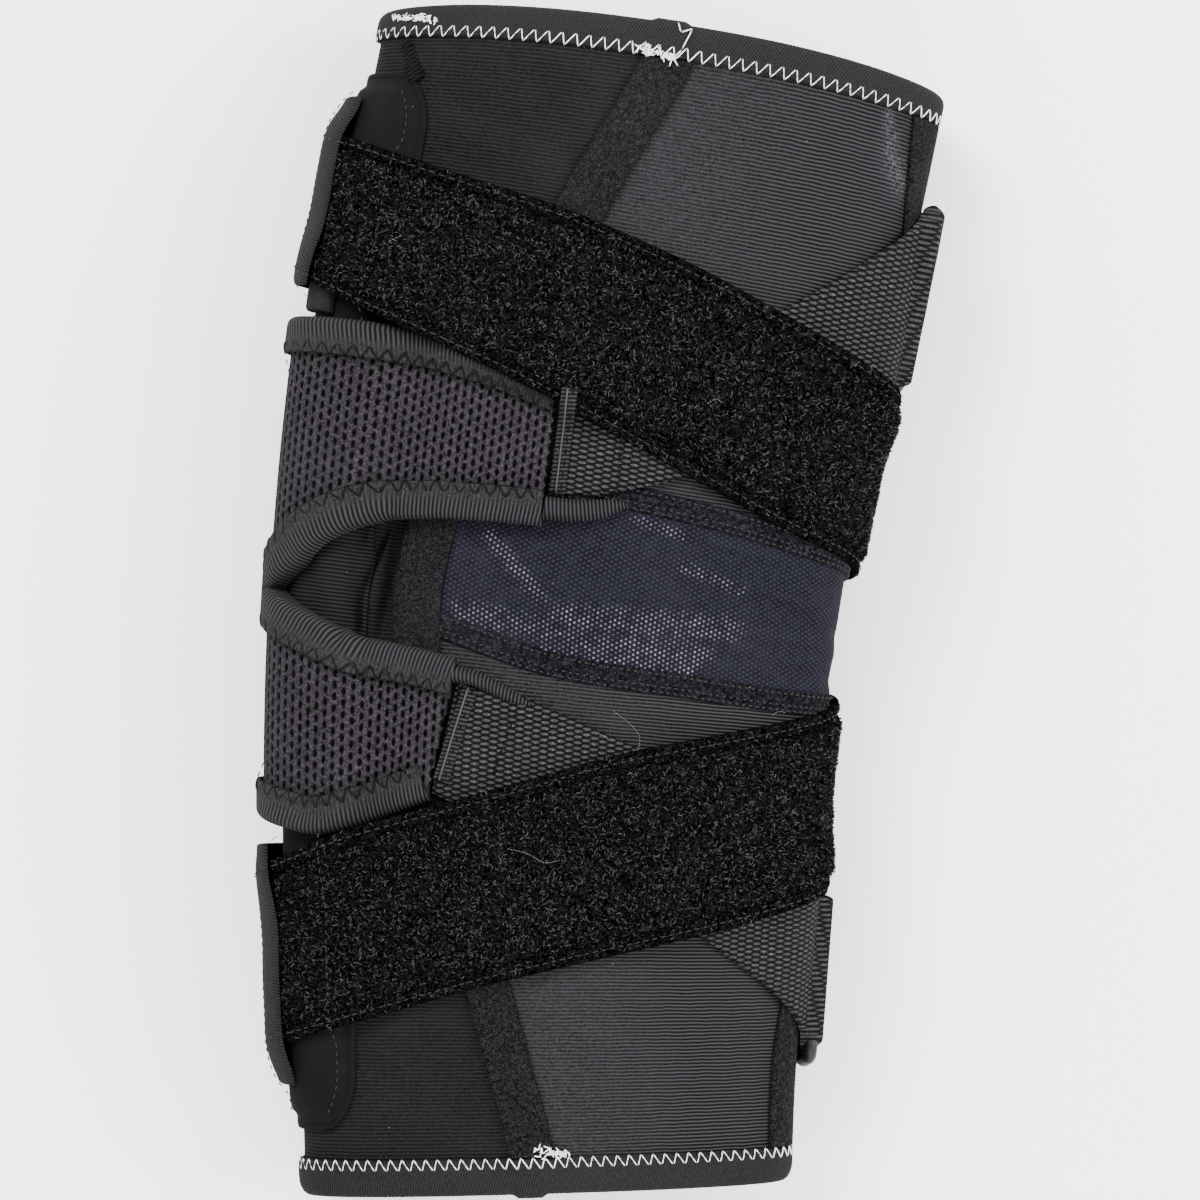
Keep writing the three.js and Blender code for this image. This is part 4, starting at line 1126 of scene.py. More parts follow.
ring_line = lambda t: np.stack([np.linspace(0, 1, 740), np.full(740, t)], -1)
white_thigh = stitch("zigzag_thigh", *zigzag(ring_line(1.0), -1, HEM["wide"] - 3.1, HEM["wide"] + 0.5, 3.85),
                     surface, 0.2, "ribbed_binding")
white_calf = stitch("zigzag_calf", *zigzag(ring_line(0.0), 1, HEM["wide"] - 3.1, HEM["wide"] + 0.5, 3.85),
                    surface, 0.2, "ribbed_binding")
frame_threads = []
for name, line, inward in (("notch", edge_notch, 1), ("top", edge_top, -1), ("bottom", edge_bottom, 1)):
    holes = zigzag(line, inward, BINDING["wide"] - 3.4, BINDING["wide"] + 0.3, 4.1, 0.5)
    frame_threads.append(stitch("zigzag_" + name, *holes, surface, 0.32, "ribbed_binding"))

# %% [markdown]
# ## Pile of the straps
# Loop pile is thousands of small loops standing up at all angles. Each is a narrow bent strip with its own
# tone, the lighter ones painted glints; together they give the fleece its broken, sparkling look and its
# fuzzy outline.

# %% Loops of pile
def loop_shape():
    """A narrow strip bent into an arch, about one unit wide and high."""
    bm = bmesh.new()
    bmesh.ops.create_grid(bm, x_segments=2, y_segments=1, size=1)
    for v in bm.verts:
        turn = math.pi * (1 - (v.co.x + 1) / 2)
        v.co = (0.5 * math.cos(turn), 0.11 * v.co.y + 0.12 * math.sin(turn), 0.9 * math.sin(turn) - 0.12)
    return bm


def pile(name, strap_name, count, seed):
    rng = np.random.default_rng(seed)
    a, b = rng.uniform(8, STRAP_LONG - 0.6, count), rng.uniform(0.4, STRAP["wide"] - 0.4, count)
    side = strap_edge(a, b)
    stays = (side > STRAP["border"] + 0.5) | ((side > 0.3) & (rng.uniform(size=count) < 0.35))
    a, b, side = a[stays], b[stays], side[stays]
    g, t, top = strap_top(strap_name, a, b)
    origins = pressed(spot(g, t, top), 1, 0.2)
    up = spot(g, t, top + 4) - spot(g, t, top)
    up /= np.linalg.norm(up, axis=1)[:, None]
    turn = rng.uniform(0, 2 * math.pi, len(a))
    lean = rng.normal(0, 0.45, (len(a), 3))
    up = up + lean
    up /= np.linalg.norm(up, axis=1)[:, None]
    loose = np.stack([np.cos(turn), np.sin(turn), 0 * turn], -1)
    run = np.cross(loose, up)
    run /= np.linalg.norm(run, axis=1)[:, None]
    wide = rng.uniform(0.7, 1.5, len(a))[:, None]
    high = (rng.uniform(0.45, 1.0, len(a)) * np.where(side > STRAP["border"], 1, 0.6))[:, None]
    frames = np.stack([run * wide, np.cross(up, run) * wide, up * high], 1)
    # A random tone for each loop; the light ones are painted glints.
    return repeated(name, loop_shape(), origins, frames, tone=rng.uniform(0, 1, len(a)) ** 2)


pile_upper = pile("pile_upper", "strap_upper", 30000, 11)
pile_lower = pile("pile_lower", "strap_lower", 30000, 12)

# %% [markdown]
# ## Sewn edges
# Where two cloths meet they are sewn, and the seam shows as its own small relief: the notch binding runs
# on along the webbings and ends round, a ribbed strip with a pale piping closes each arm of the frame,
# and a bumpy coverstitch band lies over both seams of the thin mesh. Each is a narrow cut of cloth
# between two lines of places, so one maker serves them all.

# %% Narrow strips
def strip(name, first, second, height, low=0.1, edges=(1.2, 1.2), ends=(1.5, 1.5), step=0.9,
          flat_from=0.0, base=None):
    """A narrow cloth between two lines of places, rising by height(a, b, g, t) above its base."""
    base = base or surface
    first, second = walker(first), walker(second)
    run = lambda line: np.stack(line(np.linspace(0, 1, 90)), -1) * (GIRTH, LENGTH)
    long = np.hypot(*np.diff(run(first), axis=0).T).sum()
    wide = np.hypot(*(run(first) - run(second)).T)

    def where(a, b):
        (g0, t0), (g1, t1) = first(b / long), second(b / long)
        return g0 + (g1 - g0) * a, t0 + (t1 - t0) * a

    def place(a, b, level):
        g, t = where(a, b)
        width = np.maximum(0.2, np.interp(b / long, np.linspace(0, 1, 90), wide))
        rise = rounded(a * width, edges[0]) * rounded((1 - a) * width, edges[1])
        rise = rise * rounded(b, ends[0]) * rounded(long - b, ends[1])
        top = low + 0.15 + np.maximum(0.1, height(a * width, b, g, t)) * rise
        return pressed(spot(g, t, base(g, t) + low + (top - low) * level), level)
    across = np.unique(np.concatenate([np.linspace(0, 1, max(8, int(wide.max() / 0.45))), [0.03, 0.97]]))
    return cloth(name, across, lines(0, long, step, 1.0), place,
                 flat=lambda a, b: (flat_from + a * wide.mean(), b))


def row(line, offset, pitch, gap=0.3):
    """Needle holes of a straight row of stitches, offset to the left of a line, in millimetres."""
    xy = np.array(line) * (GIRTH, LENGTH)
    arc = np.concatenate([[0], np.cumsum(np.hypot(*np.diff(xy, axis=0).T))])
    normals = across_line(np.array(line))
    count = max(2, int(arc[-1] / pitch))
    holes = []
    for shift in (0, 1 - gap):
        s = (np.arange(count) + shift) * arc[-1] / count
        at = [np.interp(s, arc, xy[:, k]) + np.interp(s, arc, normals[:, k]) * offset for k in (0, 1)]
        holes.append(np.stack(at, -1) / (GIRTH, LENGTH))
    return holes


# %% Ends of the notch binding
TAILS = {
    "binding_tail_high": ([(0.2185, 0.578), (0.232, 0.579), (0.248, 0.581), (0.263, 0.585), (0.274, 0.592),
                           (0.284, 0.600)],
                          [(0.2185, 0.599), (0.230, 0.599), (0.245, 0.600), (0.261, 0.603), (0.275, 0.606),
                           (0.285, 0.602)]),
    "binding_tail_low": ([(0.232, 0.419), (0.213, 0.428), (0.196, 0.437), (0.179, 0.444), (0.1605, 0.448)],
                         [(0.230, 0.417), (0.208, 0.418), (0.191, 0.425), (0.175, 0.431), (0.1600, 0.432)]),
}
tails = []
for name, (outer, inner) in TAILS.items():
    arm = outer[0] if "high" in name else outer[-1]
    ends = (0.05, 3.5) if "high" in name else (3.5, 0.05)
    sink = lambda a, b, g, t: 2.9 + 3.6 * (1 - step_up(np.hypot((g - arm[0]) * GIRTH, (t - arm[1]) * LENGTH),
                                                       4, 17))
    tails.append(strip(name, drawn(outer, 1, 2), drawn(inner, 1, 2), sink,
                       edges=(2.6, 1.6), ends=ends, flat_from=6.6, base=lambda g, t: web_rest(g, t) + 0.5))

# %% Seams at the arms of the frame
ARMS = {
    "arm_seam_high": [(0.2235, 0.692), (0.2235, 0.660), (0.2238, 0.630), (0.2240, 0.602)],
    "arm_seam_low": [(0.1715, 0.430), (0.1665, 0.408), (0.1600, 0.380), (0.1530, 0.350)],
}
arm_seams, arm_pipings, arm_stitches = [], [], []
for name, line in ARMS.items():
    line = drawn(line, 1.0, 3)
    shift = lambda mm: line + across_line(line) * mm / (GIRTH, LENGTH)
    arm_seams.append(strip(name, shift(-0.9), shift(3.6), lambda a, b, g, t: 0.9 + 0 * a,
                           edges=(0.6, 0.6), flat_from=6.6))
    arm_pipings.append(strip(name.replace("seam", "piping"), shift(0.55), shift(1.15),
                             lambda a, b, g, t: 1.9 + 0 * a, edges=(0.3, 0.3), step=0.6))
    arm_stitches.append(stitch(name.replace("seam", "stitches"), *row(line, 2.3, 3.1, 0.35),
                               lambda g, t: surface(g, t) + 1.0, 0.33, "ribbed_binding"))

# %% Box stitches on the webbings
BOXES = [[(0.2700, 0.668), (0.2715, 0.640), (0.2730, 0.612)],
         [(0.212, 0.411), (0.204, 0.382), (0.197, 0.356)],
         [(0.2700, 0.668), (0.2480, 0.655)], [(0.2730, 0.612), (0.2450, 0.607)]]
box_stitches = [stitch(f"box_stitches_{i}", *row(drawn(line, 1, 1), 0, 2.4, 0.35),
                       lambda g, t: surface(g, t) - 0.1,
                       0.34, "ribbed_binding") for i, line in enumerate(BOXES)]

# %% Coverstitch bands of the thin mesh
shares = np.linspace(0.02, 0.97, 160)
def seam_line(edge, shift):
    t = edge(shares) + shift
    g = left_seam(t) + shares * (right_seam(t) - left_seam(t))
    return np.stack([g, t], -1)


BANDS = {"band_high": seam_line(knee_high, -0.003), "band_low": seam_line(knee_low, 0.006)}
bands, band_rows = [], []
for name, line in BANDS.items():
    shift = lambda mm: line + across_line(line) * mm / (GIRTH, LENGTH)
    bumpy = lambda a, b, g, t: (0.55 + 0.4 * lumps(a, b, 1.1, 21) + 0.3 * lumps(a, b, 2.6, 22)
                                + 0.35 * np.exp(-((a - 3.6) / 0.8) ** 2))
    bands.append(strip(name, shift(-3.6), shift(3.6), bumpy, low=0.0, edges=(0.8, 0.8),
                       step=0.7,
                       base=lambda g, t: 0 * g))
    for k, offset in enumerate((-2.7, -1.1, 2.5)):
        band_rows.append(stitch(f"{name}_row_{k}", *row(line, offset, 2.1, 0.4), lambda g, t: 0.95 + 0 * g,
                                0.3, "popliteal_mesh"))

# %% Rows along the pockets and straps
def pocket_row(name, inside_by, pitch=2.4):
    """Stitches round a pocket, inside its edge by a number of millimetres."""
    along = np.linspace(inside_by, POCKET_LONG - inside_by, 420)
    rows = []
    for side in (-1, 1):
        width = pocket_spot(name, side, along)[3]
        g, t, _, _ = pocket_spot(name, side * (1 - inside_by / width), along)
        rows.append(row(np.stack([g, t], -1), 0, pitch, 0.4))
    starts, ends = [np.concatenate(ends) for ends in zip(*rows)]
    shown = np.abs(starts[:, 1] - 0.5) > 0.12
    return starts[shown], ends[shown]


pocket_rows = [stitch(f"{name}_stitches", *pocket_row(name, 5.0), surface, 0.22, "pocket_cover", dip=0.5)
               for name in POCKETS]
strap_rows = []
for name in STRAPS:
    lines_at = []
    for b in (2.3, STRAP["wide"] - 2.3):
        a = np.linspace(12, STRAP_LONG - 3, 700)
        g, t = strap_where(name, a, np.full(a.shape, b))
        lines_at.append(row(np.stack([g, t], -1), 0, 2.6, 0.3))
    strap_rows.append(stitch(f"{name}_stitches", *[np.concatenate(ends) for ends in zip(*lines_at)],
                             surface, 0.2, "fleece", dip=0.6))

# %% [markdown]
# ## Loose threads
# Hand-guided seams leave their traces: the white thread knots up where a seam starts or ends, one stitch
# strays over the binding, and pale hairs of lint lie on the cloth.

# %% Knots of white thread
def knot(name, start, end, count, wide, long, seed):
    """A tangle of short threads between two places."""
    rng = np.random.default_rng(seed)
    f = np.sort(rng.uniform(0, 1, count))[:, None]
    middle = (np.array(start) + f * (np.array(end) - np.array(start))
              + rng.normal(0, wide, (count, 2)) / (GIRTH, LENGTH))
    turn = rng.uniform(0, 2 * math.pi, count)
    reach = rng.uniform(0.4, 1, count) * long / 2
    way = np.stack([np.cos(turn) * reach / GIRTH, np.sin(turn) * reach / LENGTH * 0.8], -1)
    return stitch(name, middle - way, middle + way, surface, 0.2, "ribbed_binding", dip=1.0)


stray = np.array([(0.2575, 1.001), (0.2610, 0.994), (0.2690, 0.998), (0.2640, 0.981), (0.2600, 0.975)])
knots = [knot("knot_thigh_left", (0.036, 0.9915), (0.060, 0.9885), 26, 0.35, 3.6, 31),
         knot("knot_thigh_left_end", (0.058, 0.9895), (0.076, 0.9870), 26, 0.5, 3.0, 32),
         knot("knot_thigh_seam", (0.232, 0.9770), (0.262, 0.9745), 44, 0.7, 3.2, 33),
         knot("knot_calf_seam", (0.243, 0.0330), (0.268, 0.0300), 40, 0.8, 3.4, 34),
         stitch("stray_stitch", stray[:-1], stray[1:], surface, 0.2, "ribbed_binding", dip=0.5)]

# %% Serged start of the pocket and lint
serged_line = drawn([(0.050, 0.969), (0.056, 0.957), (0.064, 0.944), (0.071, 0.934)], 0.5, 3)
serged_holes = zigzag(serged_line, 1, -2.6, 2.6, 1.3, 0.5)
serged = stitch("serged_seam", *serged_holes, surface, 0.42, "ribbed_binding", dip=0.6)
HAIRS = [[(0.290, 0.421), (0.305, 0.411), (0.314, 0.401), (0.312, 0.389)],
         [(0.213, 0.296), (0.229, 0.293), (0.244, 0.284), (0.256, 0.288)],
         [(0.280, 0.400), (0.288, 0.396)], [(0.330, 0.700), (0.337, 0.708), (0.341, 0.703)],
         [(0.080, 0.790), (0.088, 0.797)],
         [(0.420, 0.430), (0.425, 0.436), (0.432, 0.434)]]
hairs = []
for i, hair in enumerate(HAIRS):
    path = drawn(hair, 0.8, 2)
    hairs.append(stitch(f"lint_{i}", path[:-1], path[1:], lambda g, t: surface(g, t) + 0.6, 0.07, "fleece",
                        dip=0.1, sides=4, steps=2))

# %% [markdown]
# ## Effects as node groups
# Knit, weave and pile repeat over many pieces, so each effect is built once as a node group with named
# sockets and then placed in the materials with its own values. They read the flat UV map of the cloth
# in metres, so a rib is as wide on the hem as on the frame.

# %% Node helpers
def node(tree, kind, inputs=(), **settings):
    """Adds a shader node, sets its options, and links or fills its inputs."""
    made = tree.nodes.new("ShaderNode" + kind)
    for key, value in settings.items():
        setattr(made, key, value)
    for key, value in dict(inputs).items():
        if isinstance(value, bpy.types.NodeSocket):
            tree.links.new(value, made.inputs[key])
        else:
            made.inputs[key].default_value = value
    made.location = (220 * (len(tree.nodes) % 9), -260 * (len(tree.nodes) // 9))
    return made


def math_node(tree, operation, a, b=0.0, c=0.0):
    made = node(tree, "Math", {0: a, 1: b, 2: c}, operation=operation)
    return made.outputs[0]


def vector_node(tree, operation, a, b=(0, 0, 0)):
    made = node(tree, "VectorMath", {0: a, 1: b}, operation=operation)
    return made.outputs["Value" if operation == "LENGTH" else "Vector"]


def spread(tree, value, low, high, to_low=0.0, to_high=1.0):
    """A smooth step of a value from low to high."""
    made = node(tree, "MapRange", {"Value": value, "From Min": low, "From Max": high,
                                   "To Min": to_low, "To Max": to_high}, interpolation_type="SMOOTHSTEP")
    return made.outputs["Result"]


def effect(name, inputs, outputs):
    """A new node group with named inputs and outputs: its tree, its input node and its output node."""
    tree = bpy.data.node_groups.new(name, "ShaderNodeTree")
    for label, value in inputs.items():
        kind = "NodeSocketVector" if label == "Vector" else "NodeSocketFloat"
        socket = tree.interface.new_socket(label, in_out="INPUT", socket_type=kind)
        if value is not None:
            socket.default_value = value
    for label in outputs:
        tree.interface.new_socket(label, in_out="OUTPUT", socket_type="NodeSocketFloat")
    return tree, tree.nodes.new("NodeGroupInput").outputs, tree.nodes.new("NodeGroupOutput").inputs


def placed(tree, name, **inputs):
    """Places an effect in a material."""
    made = node(tree, "Group", node_tree=bpy.data.node_groups[name])
    for key, value in inputs.items():
        label = key.replace("_", " ").title()
        if isinstance(value, bpy.types.NodeSocket):
            tree.links.new(value, made.inputs[label])
        else:
            made.inputs[label].default_value = value
    return made.outputs


# %% [markdown]
# ### Ribs, staggered holes, fibres and handling
# Ribs are a sine across the cloth. Holes and gaps sit on two shifted lattices. Fibres are a fine twisted
# noise. Handling is a broad noise that makes cloth a little lighter where it was touched.

# %% Ribs
tree, given, out = effect("ribs", {"Vector": None, "Pitch": 0.0013, "Slant": 0.0, "Waver": 0.0002},
                          ["Height"])
parts = node(tree, "SeparateXYZ", {"Vector": given["Vector"]}).outputs
wave = node(tree, "TexNoise", {"Vector": given["Vector"], "Scale": 130.0, "Detail": 1.0}).outputs["Fac"]
line_at = math_node(tree, "MULTIPLY_ADD", parts["X"], given["Slant"], parts["Y"])
line_at = math_node(tree, "MULTIPLY_ADD", wave, given["Waver"], line_at)
turn = math_node(tree, "MULTIPLY", math_node(tree, "DIVIDE", line_at, given["Pitch"]), 2 * math.pi)
tree.links.new(math_node(tree, "MULTIPLY_ADD", math_node(tree, "SINE", turn), 0.5, 0.5), out["Height"])

# %% Staggered holes
tree, given, out = effect("staggered", {"Vector": None, "Across": 0.0046, "Along": 0.0031, "Wide": 0.0005,
                                        "Long": 0.0012}, ["Mask"])
cell = node(tree, "CombineXYZ", {"X": given["Across"], "Y": given["Along"], "Z": 1.0}).outputs[0]
half = node(tree, "CombineXYZ", {"X": given["Wide"], "Y": given["Long"], "Z": 1.0}).outputs[0]
masks = []
for shift in (0.5, 1.0):
    share = vector_node(tree, "ADD", vector_node(tree, "DIVIDE", given["Vector"], cell), (shift, shift, 0.5))
    local = vector_node(tree, "SUBTRACT", vector_node(tree, "FRACTION", share), (0.5, 0.5, 0.5))
    away = vector_node(tree, "LENGTH",
                       vector_node(tree, "DIVIDE", vector_node(tree, "MULTIPLY", local, cell), half))
    masks.append(spread(tree, away, 1.25, 0.7))
tree.links.new(math_node(tree, "MAXIMUM", *masks), out["Mask"])

# %% Fibres
tree, given, out = effect("fibres", {"Vector": None, "Scale": 900.0, "Twist": 2.5},
                          ["Glint", "Height", "Curl"])
curl = node(tree, "TexNoise", {"Vector": given["Vector"], "Scale": given["Scale"], "Detail": 3.0,
                               "Roughness": 0.65, "Distortion": given["Twist"]}).outputs["Fac"]
tree.links.new(spread(tree, curl, 0.52, 0.72), out["Glint"])
tree.links.new(curl, out["Height"])
strand = math_node(tree, "ABSOLUTE", math_node(tree, "SUBTRACT", curl, 0.5))
tree.links.new(spread(tree, strand, 0.035, 0.005), out["Curl"])

# %% Handling
tree, given, out = effect("handling", {"Vector": None, "Amount": 0.5}, ["Light", "Lint"])
broad = node(tree, "TexNoise",
             {"Vector": given["Vector"], "Scale": 22.0, "Detail": 4.0, "Roughness": 0.6}).outputs["Fac"]
speck = node(tree, "TexVoronoi", {"Vector": given["Vector"], "Scale": 420.0, "Randomness": 1.0}).outputs
rare = node(tree, "SeparateXYZ", {"Vector": speck["Color"]}).outputs["X"]
tree.links.new(math_node(tree, "MULTIPLY", spread(tree, broad, 0.35, 0.7), given["Amount"]), out["Light"])
lint = math_node(tree, "MULTIPLY", spread(tree, speck["Distance"], 0.13, 0.05),
                 spread(tree, rare, 0.975, 0.985))
tree.links.new(lint, out["Lint"])
print("effects:", [group.name for group in bpy.data.node_groups])

# %% [markdown]
# ## Materials
# Black cloth is never one black. Each finish mixes a dark and a light tone by the height of its own knit
# or weave, adds the lint and the paler bloom of handling, and bumps by the same height. In ribs, weave
# gaps and mesh holes the dark tone is painted shade in the low places and the light tone painted
# highlight on the crowns.
# Knit scatters light in its fibres and hardly shines, so the specular level is close to nothing.

# %% Finish maker
def tone_mix(tree, share, dark, light):
    made = node(tree, "Mix", {"Factor": share}, data_type="RGBA")
    for socket, value in ((made.inputs[6], dark), (made.inputs[7], light)):
        if isinstance(value, bpy.types.NodeSocket):
            tree.links.new(value, socket)
        else:
            socket.default_value = (*value, 1)
    return made.outputs[2]


def grey(value, blue=1.06):
    """A nearly neutral tone, a little blue as black yarn is."""
    return (value, value * 0.99, value * blue)


def between(tree, share, low, high):
    """A value mixed from low to high by share."""
    return node(tree, "Mix", {"Factor": share, 2: low, 3: high}, data_type="FLOAT").outputs[0]


def finish_of(name, build, roughness=0.9, sheen=0.0, bump=0.0003, specular=0.04, bloom=0.3):
    """A cloth material: build(tree, flat, place) gives its colour and its height."""
    material = bpy.data.materials.new(name)
    material.use_nodes = True
    tree = material.node_tree
    shader = tree.nodes["Principled BSDF"]
    flat = node(tree, "UVMap", uv_map="flat").outputs["UV"]
    place = node(tree, "TexCoord").outputs["Object"]
    colour, height = build(tree, flat, place)
    handling = placed(tree, "handling", vector=place, amount=bloom)
    colour = tone_mix(tree, handling["Light"], colour, tone_mix(tree, 0.3, colour, grey(0.03)))
    colour = tone_mix(tree, math_node(tree, "MULTIPLY", handling["Lint"], 0.5), colour, grey(0.12))
    tree.links.new(colour, shader.inputs["Base Color"])
    shader.inputs["Roughness"].default_value = roughness
    shader.inputs["Sheen Weight"].default_value = sheen
    shader.inputs["Sheen Roughness"].default_value = 0.5
    shader.inputs["Specular IOR Level"].default_value = specular
    bumped = node(tree, "Bump", {"Height": height, "Strength": 1.0, "Distance": bump})
    tree.links.new(bumped.outputs["Normal"], shader.inputs["Normal"])
    return material


def wear(material, *pieces):
    for piece in pieces:
        piece.data.materials.clear()
        piece.data.materials.append(material)


# %% Ribbed jersey
def jersey(dark, light, crisp_from, crisp_to, least=0.25, most=0.8):
    """Jersey with painted shade in its rib grooves and painted highlight on the crowns, stronger from one
    side of the panel to the other.
    """
    def build(tree, flat, place):
        ribs = placed(tree, "ribs", vector=flat, pitch=0.00106, slant=0.0, waver=0.0006)["Height"]
        yarn = placed(tree, "fibres", vector=place, scale=1500.0, twist=1.0)
        side = node(tree, "SeparateXYZ", {"Vector": flat}).outputs["X"]
        # How strongly the painted rib shade and highlight show, growing across the panel.
        crisp = spread(tree, side, crisp_from, crisp_to, least, most)
        narrow = math_node(tree, "POWER", math_node(tree, "MULTIPLY_ADD", yarn["Height"], 0.25,
                                                    math_node(tree, "MULTIPLY", ribs, 0.9)), 1.5)
        share = between(tree, crisp, spread(tree, yarn["Height"], 0.3, 0.7), narrow)
        height = math_node(tree, "MULTIPLY_ADD", yarn["Height"], 0.5, ribs)
        glue = node(tree, "Attribute", attribute_name="tone").outputs["Fac"]
        flaked = math_node(tree, "MULTIPLY", glue, spread(tree, yarn["Height"], 0.46, 0.62))
        return tone_mix(tree, math_node(tree, "MULTIPLY", flaked, 0.55), tone_mix(tree, share, dark, light),
                        grey(0.09)), height
    return build


jersey_thigh = finish_of("jersey_thigh", jersey(grey(0.0003), grey(0.0265), 0.015, 0.085, 0.4, 1.0))
jersey_calf = finish_of("jersey_calf", jersey(grey(0.0003), grey(0.0265), 0.01, 0.08, 0.4, 1.0))
jersey_front = finish_of("jersey_front", jersey(grey(0.0006), grey(0.0112), 0.0, 1.0, 0.55, 0.55))
wear(jersey_thigh, rear_upper)
wear(jersey_calf, rear_lower)
wear(jersey_front, front)

# %% Thin mesh behind the knee
def thin_mesh(tree, flat, place):
    knit = placed(tree, "staggered", vector=flat, across=0.00195, along=0.00145, wide=0.00040,
                  long=0.00034)["Mask"]
    spark = placed(tree, "staggered", vector=flat, across=0.00195, along=0.00145, wide=0.00021,
                   long=0.00034)["Mask"]
    stretched = node(tree, "Attribute", attribute_name="tone").outputs["Fac"]
    patchy = node(tree, "TexNoise",
                  {"Vector": place, "Scale": 330.0, "Detail": 3.0, "Roughness": 0.7}).outputs["Fac"]
    # Light specks on the fold ridges of the SHINE table: partly the mesh opening where it is stretched,
    # partly painted highlight.
    shine = math_node(tree, "MULTIPLY", spread(tree, patchy, 0.34, 0.74), spread(tree, stretched, 0.2, 0.95))
    ground = tone_mix(tree, spread(tree, patchy, 0.3, 0.7), (0.0030, 0.0028, 0.0048),
                      (0.0062, 0.0060, 0.0098))
    colour = tone_mix(tree, knit, ground, (0.0135, 0.0130, 0.0200))
    # The bright specks, in part painted highlight.
    colour = tone_mix(tree, math_node(tree, "MULTIPLY", spark, shine), colour, (0.17, 0.17, 0.19))
    return colour, knit


def seam_cloth(tree, flat, place):
    yarn = placed(tree, "fibres", vector=place, scale=1100.0, twist=1.0)
    return tone_mix(tree, spread(tree, yarn["Height"], 0.42, 0.68), (0.0006, 0.0006, 0.0008),
                    (0.013, 0.0125, 0.016)), yarn["Height"]


wear(finish_of("thin_mesh", thin_mesh, bump=0.0002), behind_knee)
wear(finish_of("seam_cloth", seam_cloth, bump=0.0004), *bands)

# %% Ribbed bindings
def binding(pitch, slant, dark, light, smooth_to=0.0, strong_from=0.0001, least=0.7, most=0.9):
    """Ribs across a folded strip, painted as shade in the grooves and highlight on the crowns, weaker on its
    stitched flat than round its edge.
    """
    def build(tree, flat, place):
        ribs = placed(tree, "ribs", vector=flat, pitch=pitch, slant=slant, waver=0.0004)["Height"]
        yarn = placed(tree, "fibres", vector=place, scale=1700.0, twist=1.0)
        side = node(tree, "SeparateXYZ", {"Vector": flat}).outputs["X"]
        crisp = spread(tree, side, smooth_to, strong_from, least, most)
        # Painted rib shade and highlight, weaker on the stitched flat.
        share = between(tree, crisp, spread(tree, yarn["Height"], 0.3, 0.7), ribs)
        height = math_node(tree, "MULTIPLY_ADD", yarn["Height"], 0.3, ribs)
        return tone_mix(tree, share, dark, light), height
    return build


binding_cloth = finish_of("binding_cloth",
                          binding(0.00115, 0.15, grey(0.0010), grey(0.026), 0.0035, 0.0062, 0.2, 1.0),
                          bump=0.0004)
hem_thigh_cloth = finish_of("hem_thigh_cloth", binding(0.00085, -0.6, grey(0.0012), grey(0.0175), least=0.6,
                                                       most=0.6), bump=0.0002)
hem_calf_cloth = finish_of("hem_calf_cloth", binding(0.00085, 0.5, grey(0.0012), grey(0.0175), least=0.6,
                                                     most=0.6), bump=0.0002)
wear(binding_cloth, binding_notch, binding_high, binding_low, binding_round, *tails, *arm_seams)
wear(hem_thigh_cloth, hem_thigh)
wear(hem_calf_cloth, hem_calf, gusset, keeper_upper, keeper_lower)

# %% Loop tape and fleece
def tape_cloth(tree, flat, place):
    yarn = placed(tree, "fibres", vector=place, scale=1250.0, twist=1.5)
    return tone_mix(tree, spread(tree, yarn["Height"], 0.42, 0.64), grey(0.0004),
                    grey(0.0135)), yarn["Height"]


def fleece_ground(tree, flat, place):
    yarn = placed(tree, "fibres", vector=place, scale=620.0, twist=1.2)
    # Lighter curly lines on a near black ground: painted glints of the fibres.
    return tone_mix(tree, yarn["Curl"], grey(0.0004), grey(0.010)), yarn["Height"]


def fleece_loop(tree, flat, place):
    tone = node(tree, "Attribute", attribute_name="tone").outputs["Fac"]
    yarn = placed(tree, "fibres", vector=place, scale=2500.0, twist=1.0)
    # Each loop is near black to grey by its tone; the lighter loops are painted glints.
    return tone_mix(tree, tone, grey(0.0003), grey(0.038)), yarn["Height"]


wear(finish_of("tape_cloth", tape_cloth, bump=0.0005), tape_left, tape_right)
wear(finish_of("fleece_ground", fleece_ground, roughness=0.95, bump=0.0008, specular=0.0, bloom=0.0),
     strap_upper, strap_lower)
wear(finish_of("fleece_loop", fleece_loop, roughness=0.7, specular=0.02, bloom=0.0), pile_upper, pile_lower)

# %% Pocket cover
def smooth_cover(tree, flat, place):
    """Smooth at its ends; where the notch shows its middle, ribbed jersey is pulled over it."""
    yarn = placed(tree, "fibres", vector=place, scale=2600.0, twist=0.5)
    ribs = placed(tree, "ribs", vector=flat, pitch=0.00106, slant=0.0, waver=0.0006)["Height"]
    along = node(tree, "SeparateXYZ", {"Vector": flat}).outputs["Y"]
    ribbed = math_node(tree, "MULTIPLY", spread(tree, along, 0.112, 0.116), spread(tree, along, 0.200, 0.196))
    smooth = tone_mix(tree, yarn["Height"], grey(0.0014), grey(0.0050))
    # The ribbed middle is painted with shade in its grooves and highlight on its crowns.
    colour = tone_mix(tree, ribbed, smooth, tone_mix(tree, ribs, grey(0.0006), grey(0.0110)))
    return colour, math_node(tree, "MULTIPLY_ADD", math_node(tree, "MULTIPLY", ribs, ribbed), 3.0,
                             yarn["Height"])


wear(finish_of("smooth_cover", smooth_cover, bump=0.00008), pocket_left, pocket_right)

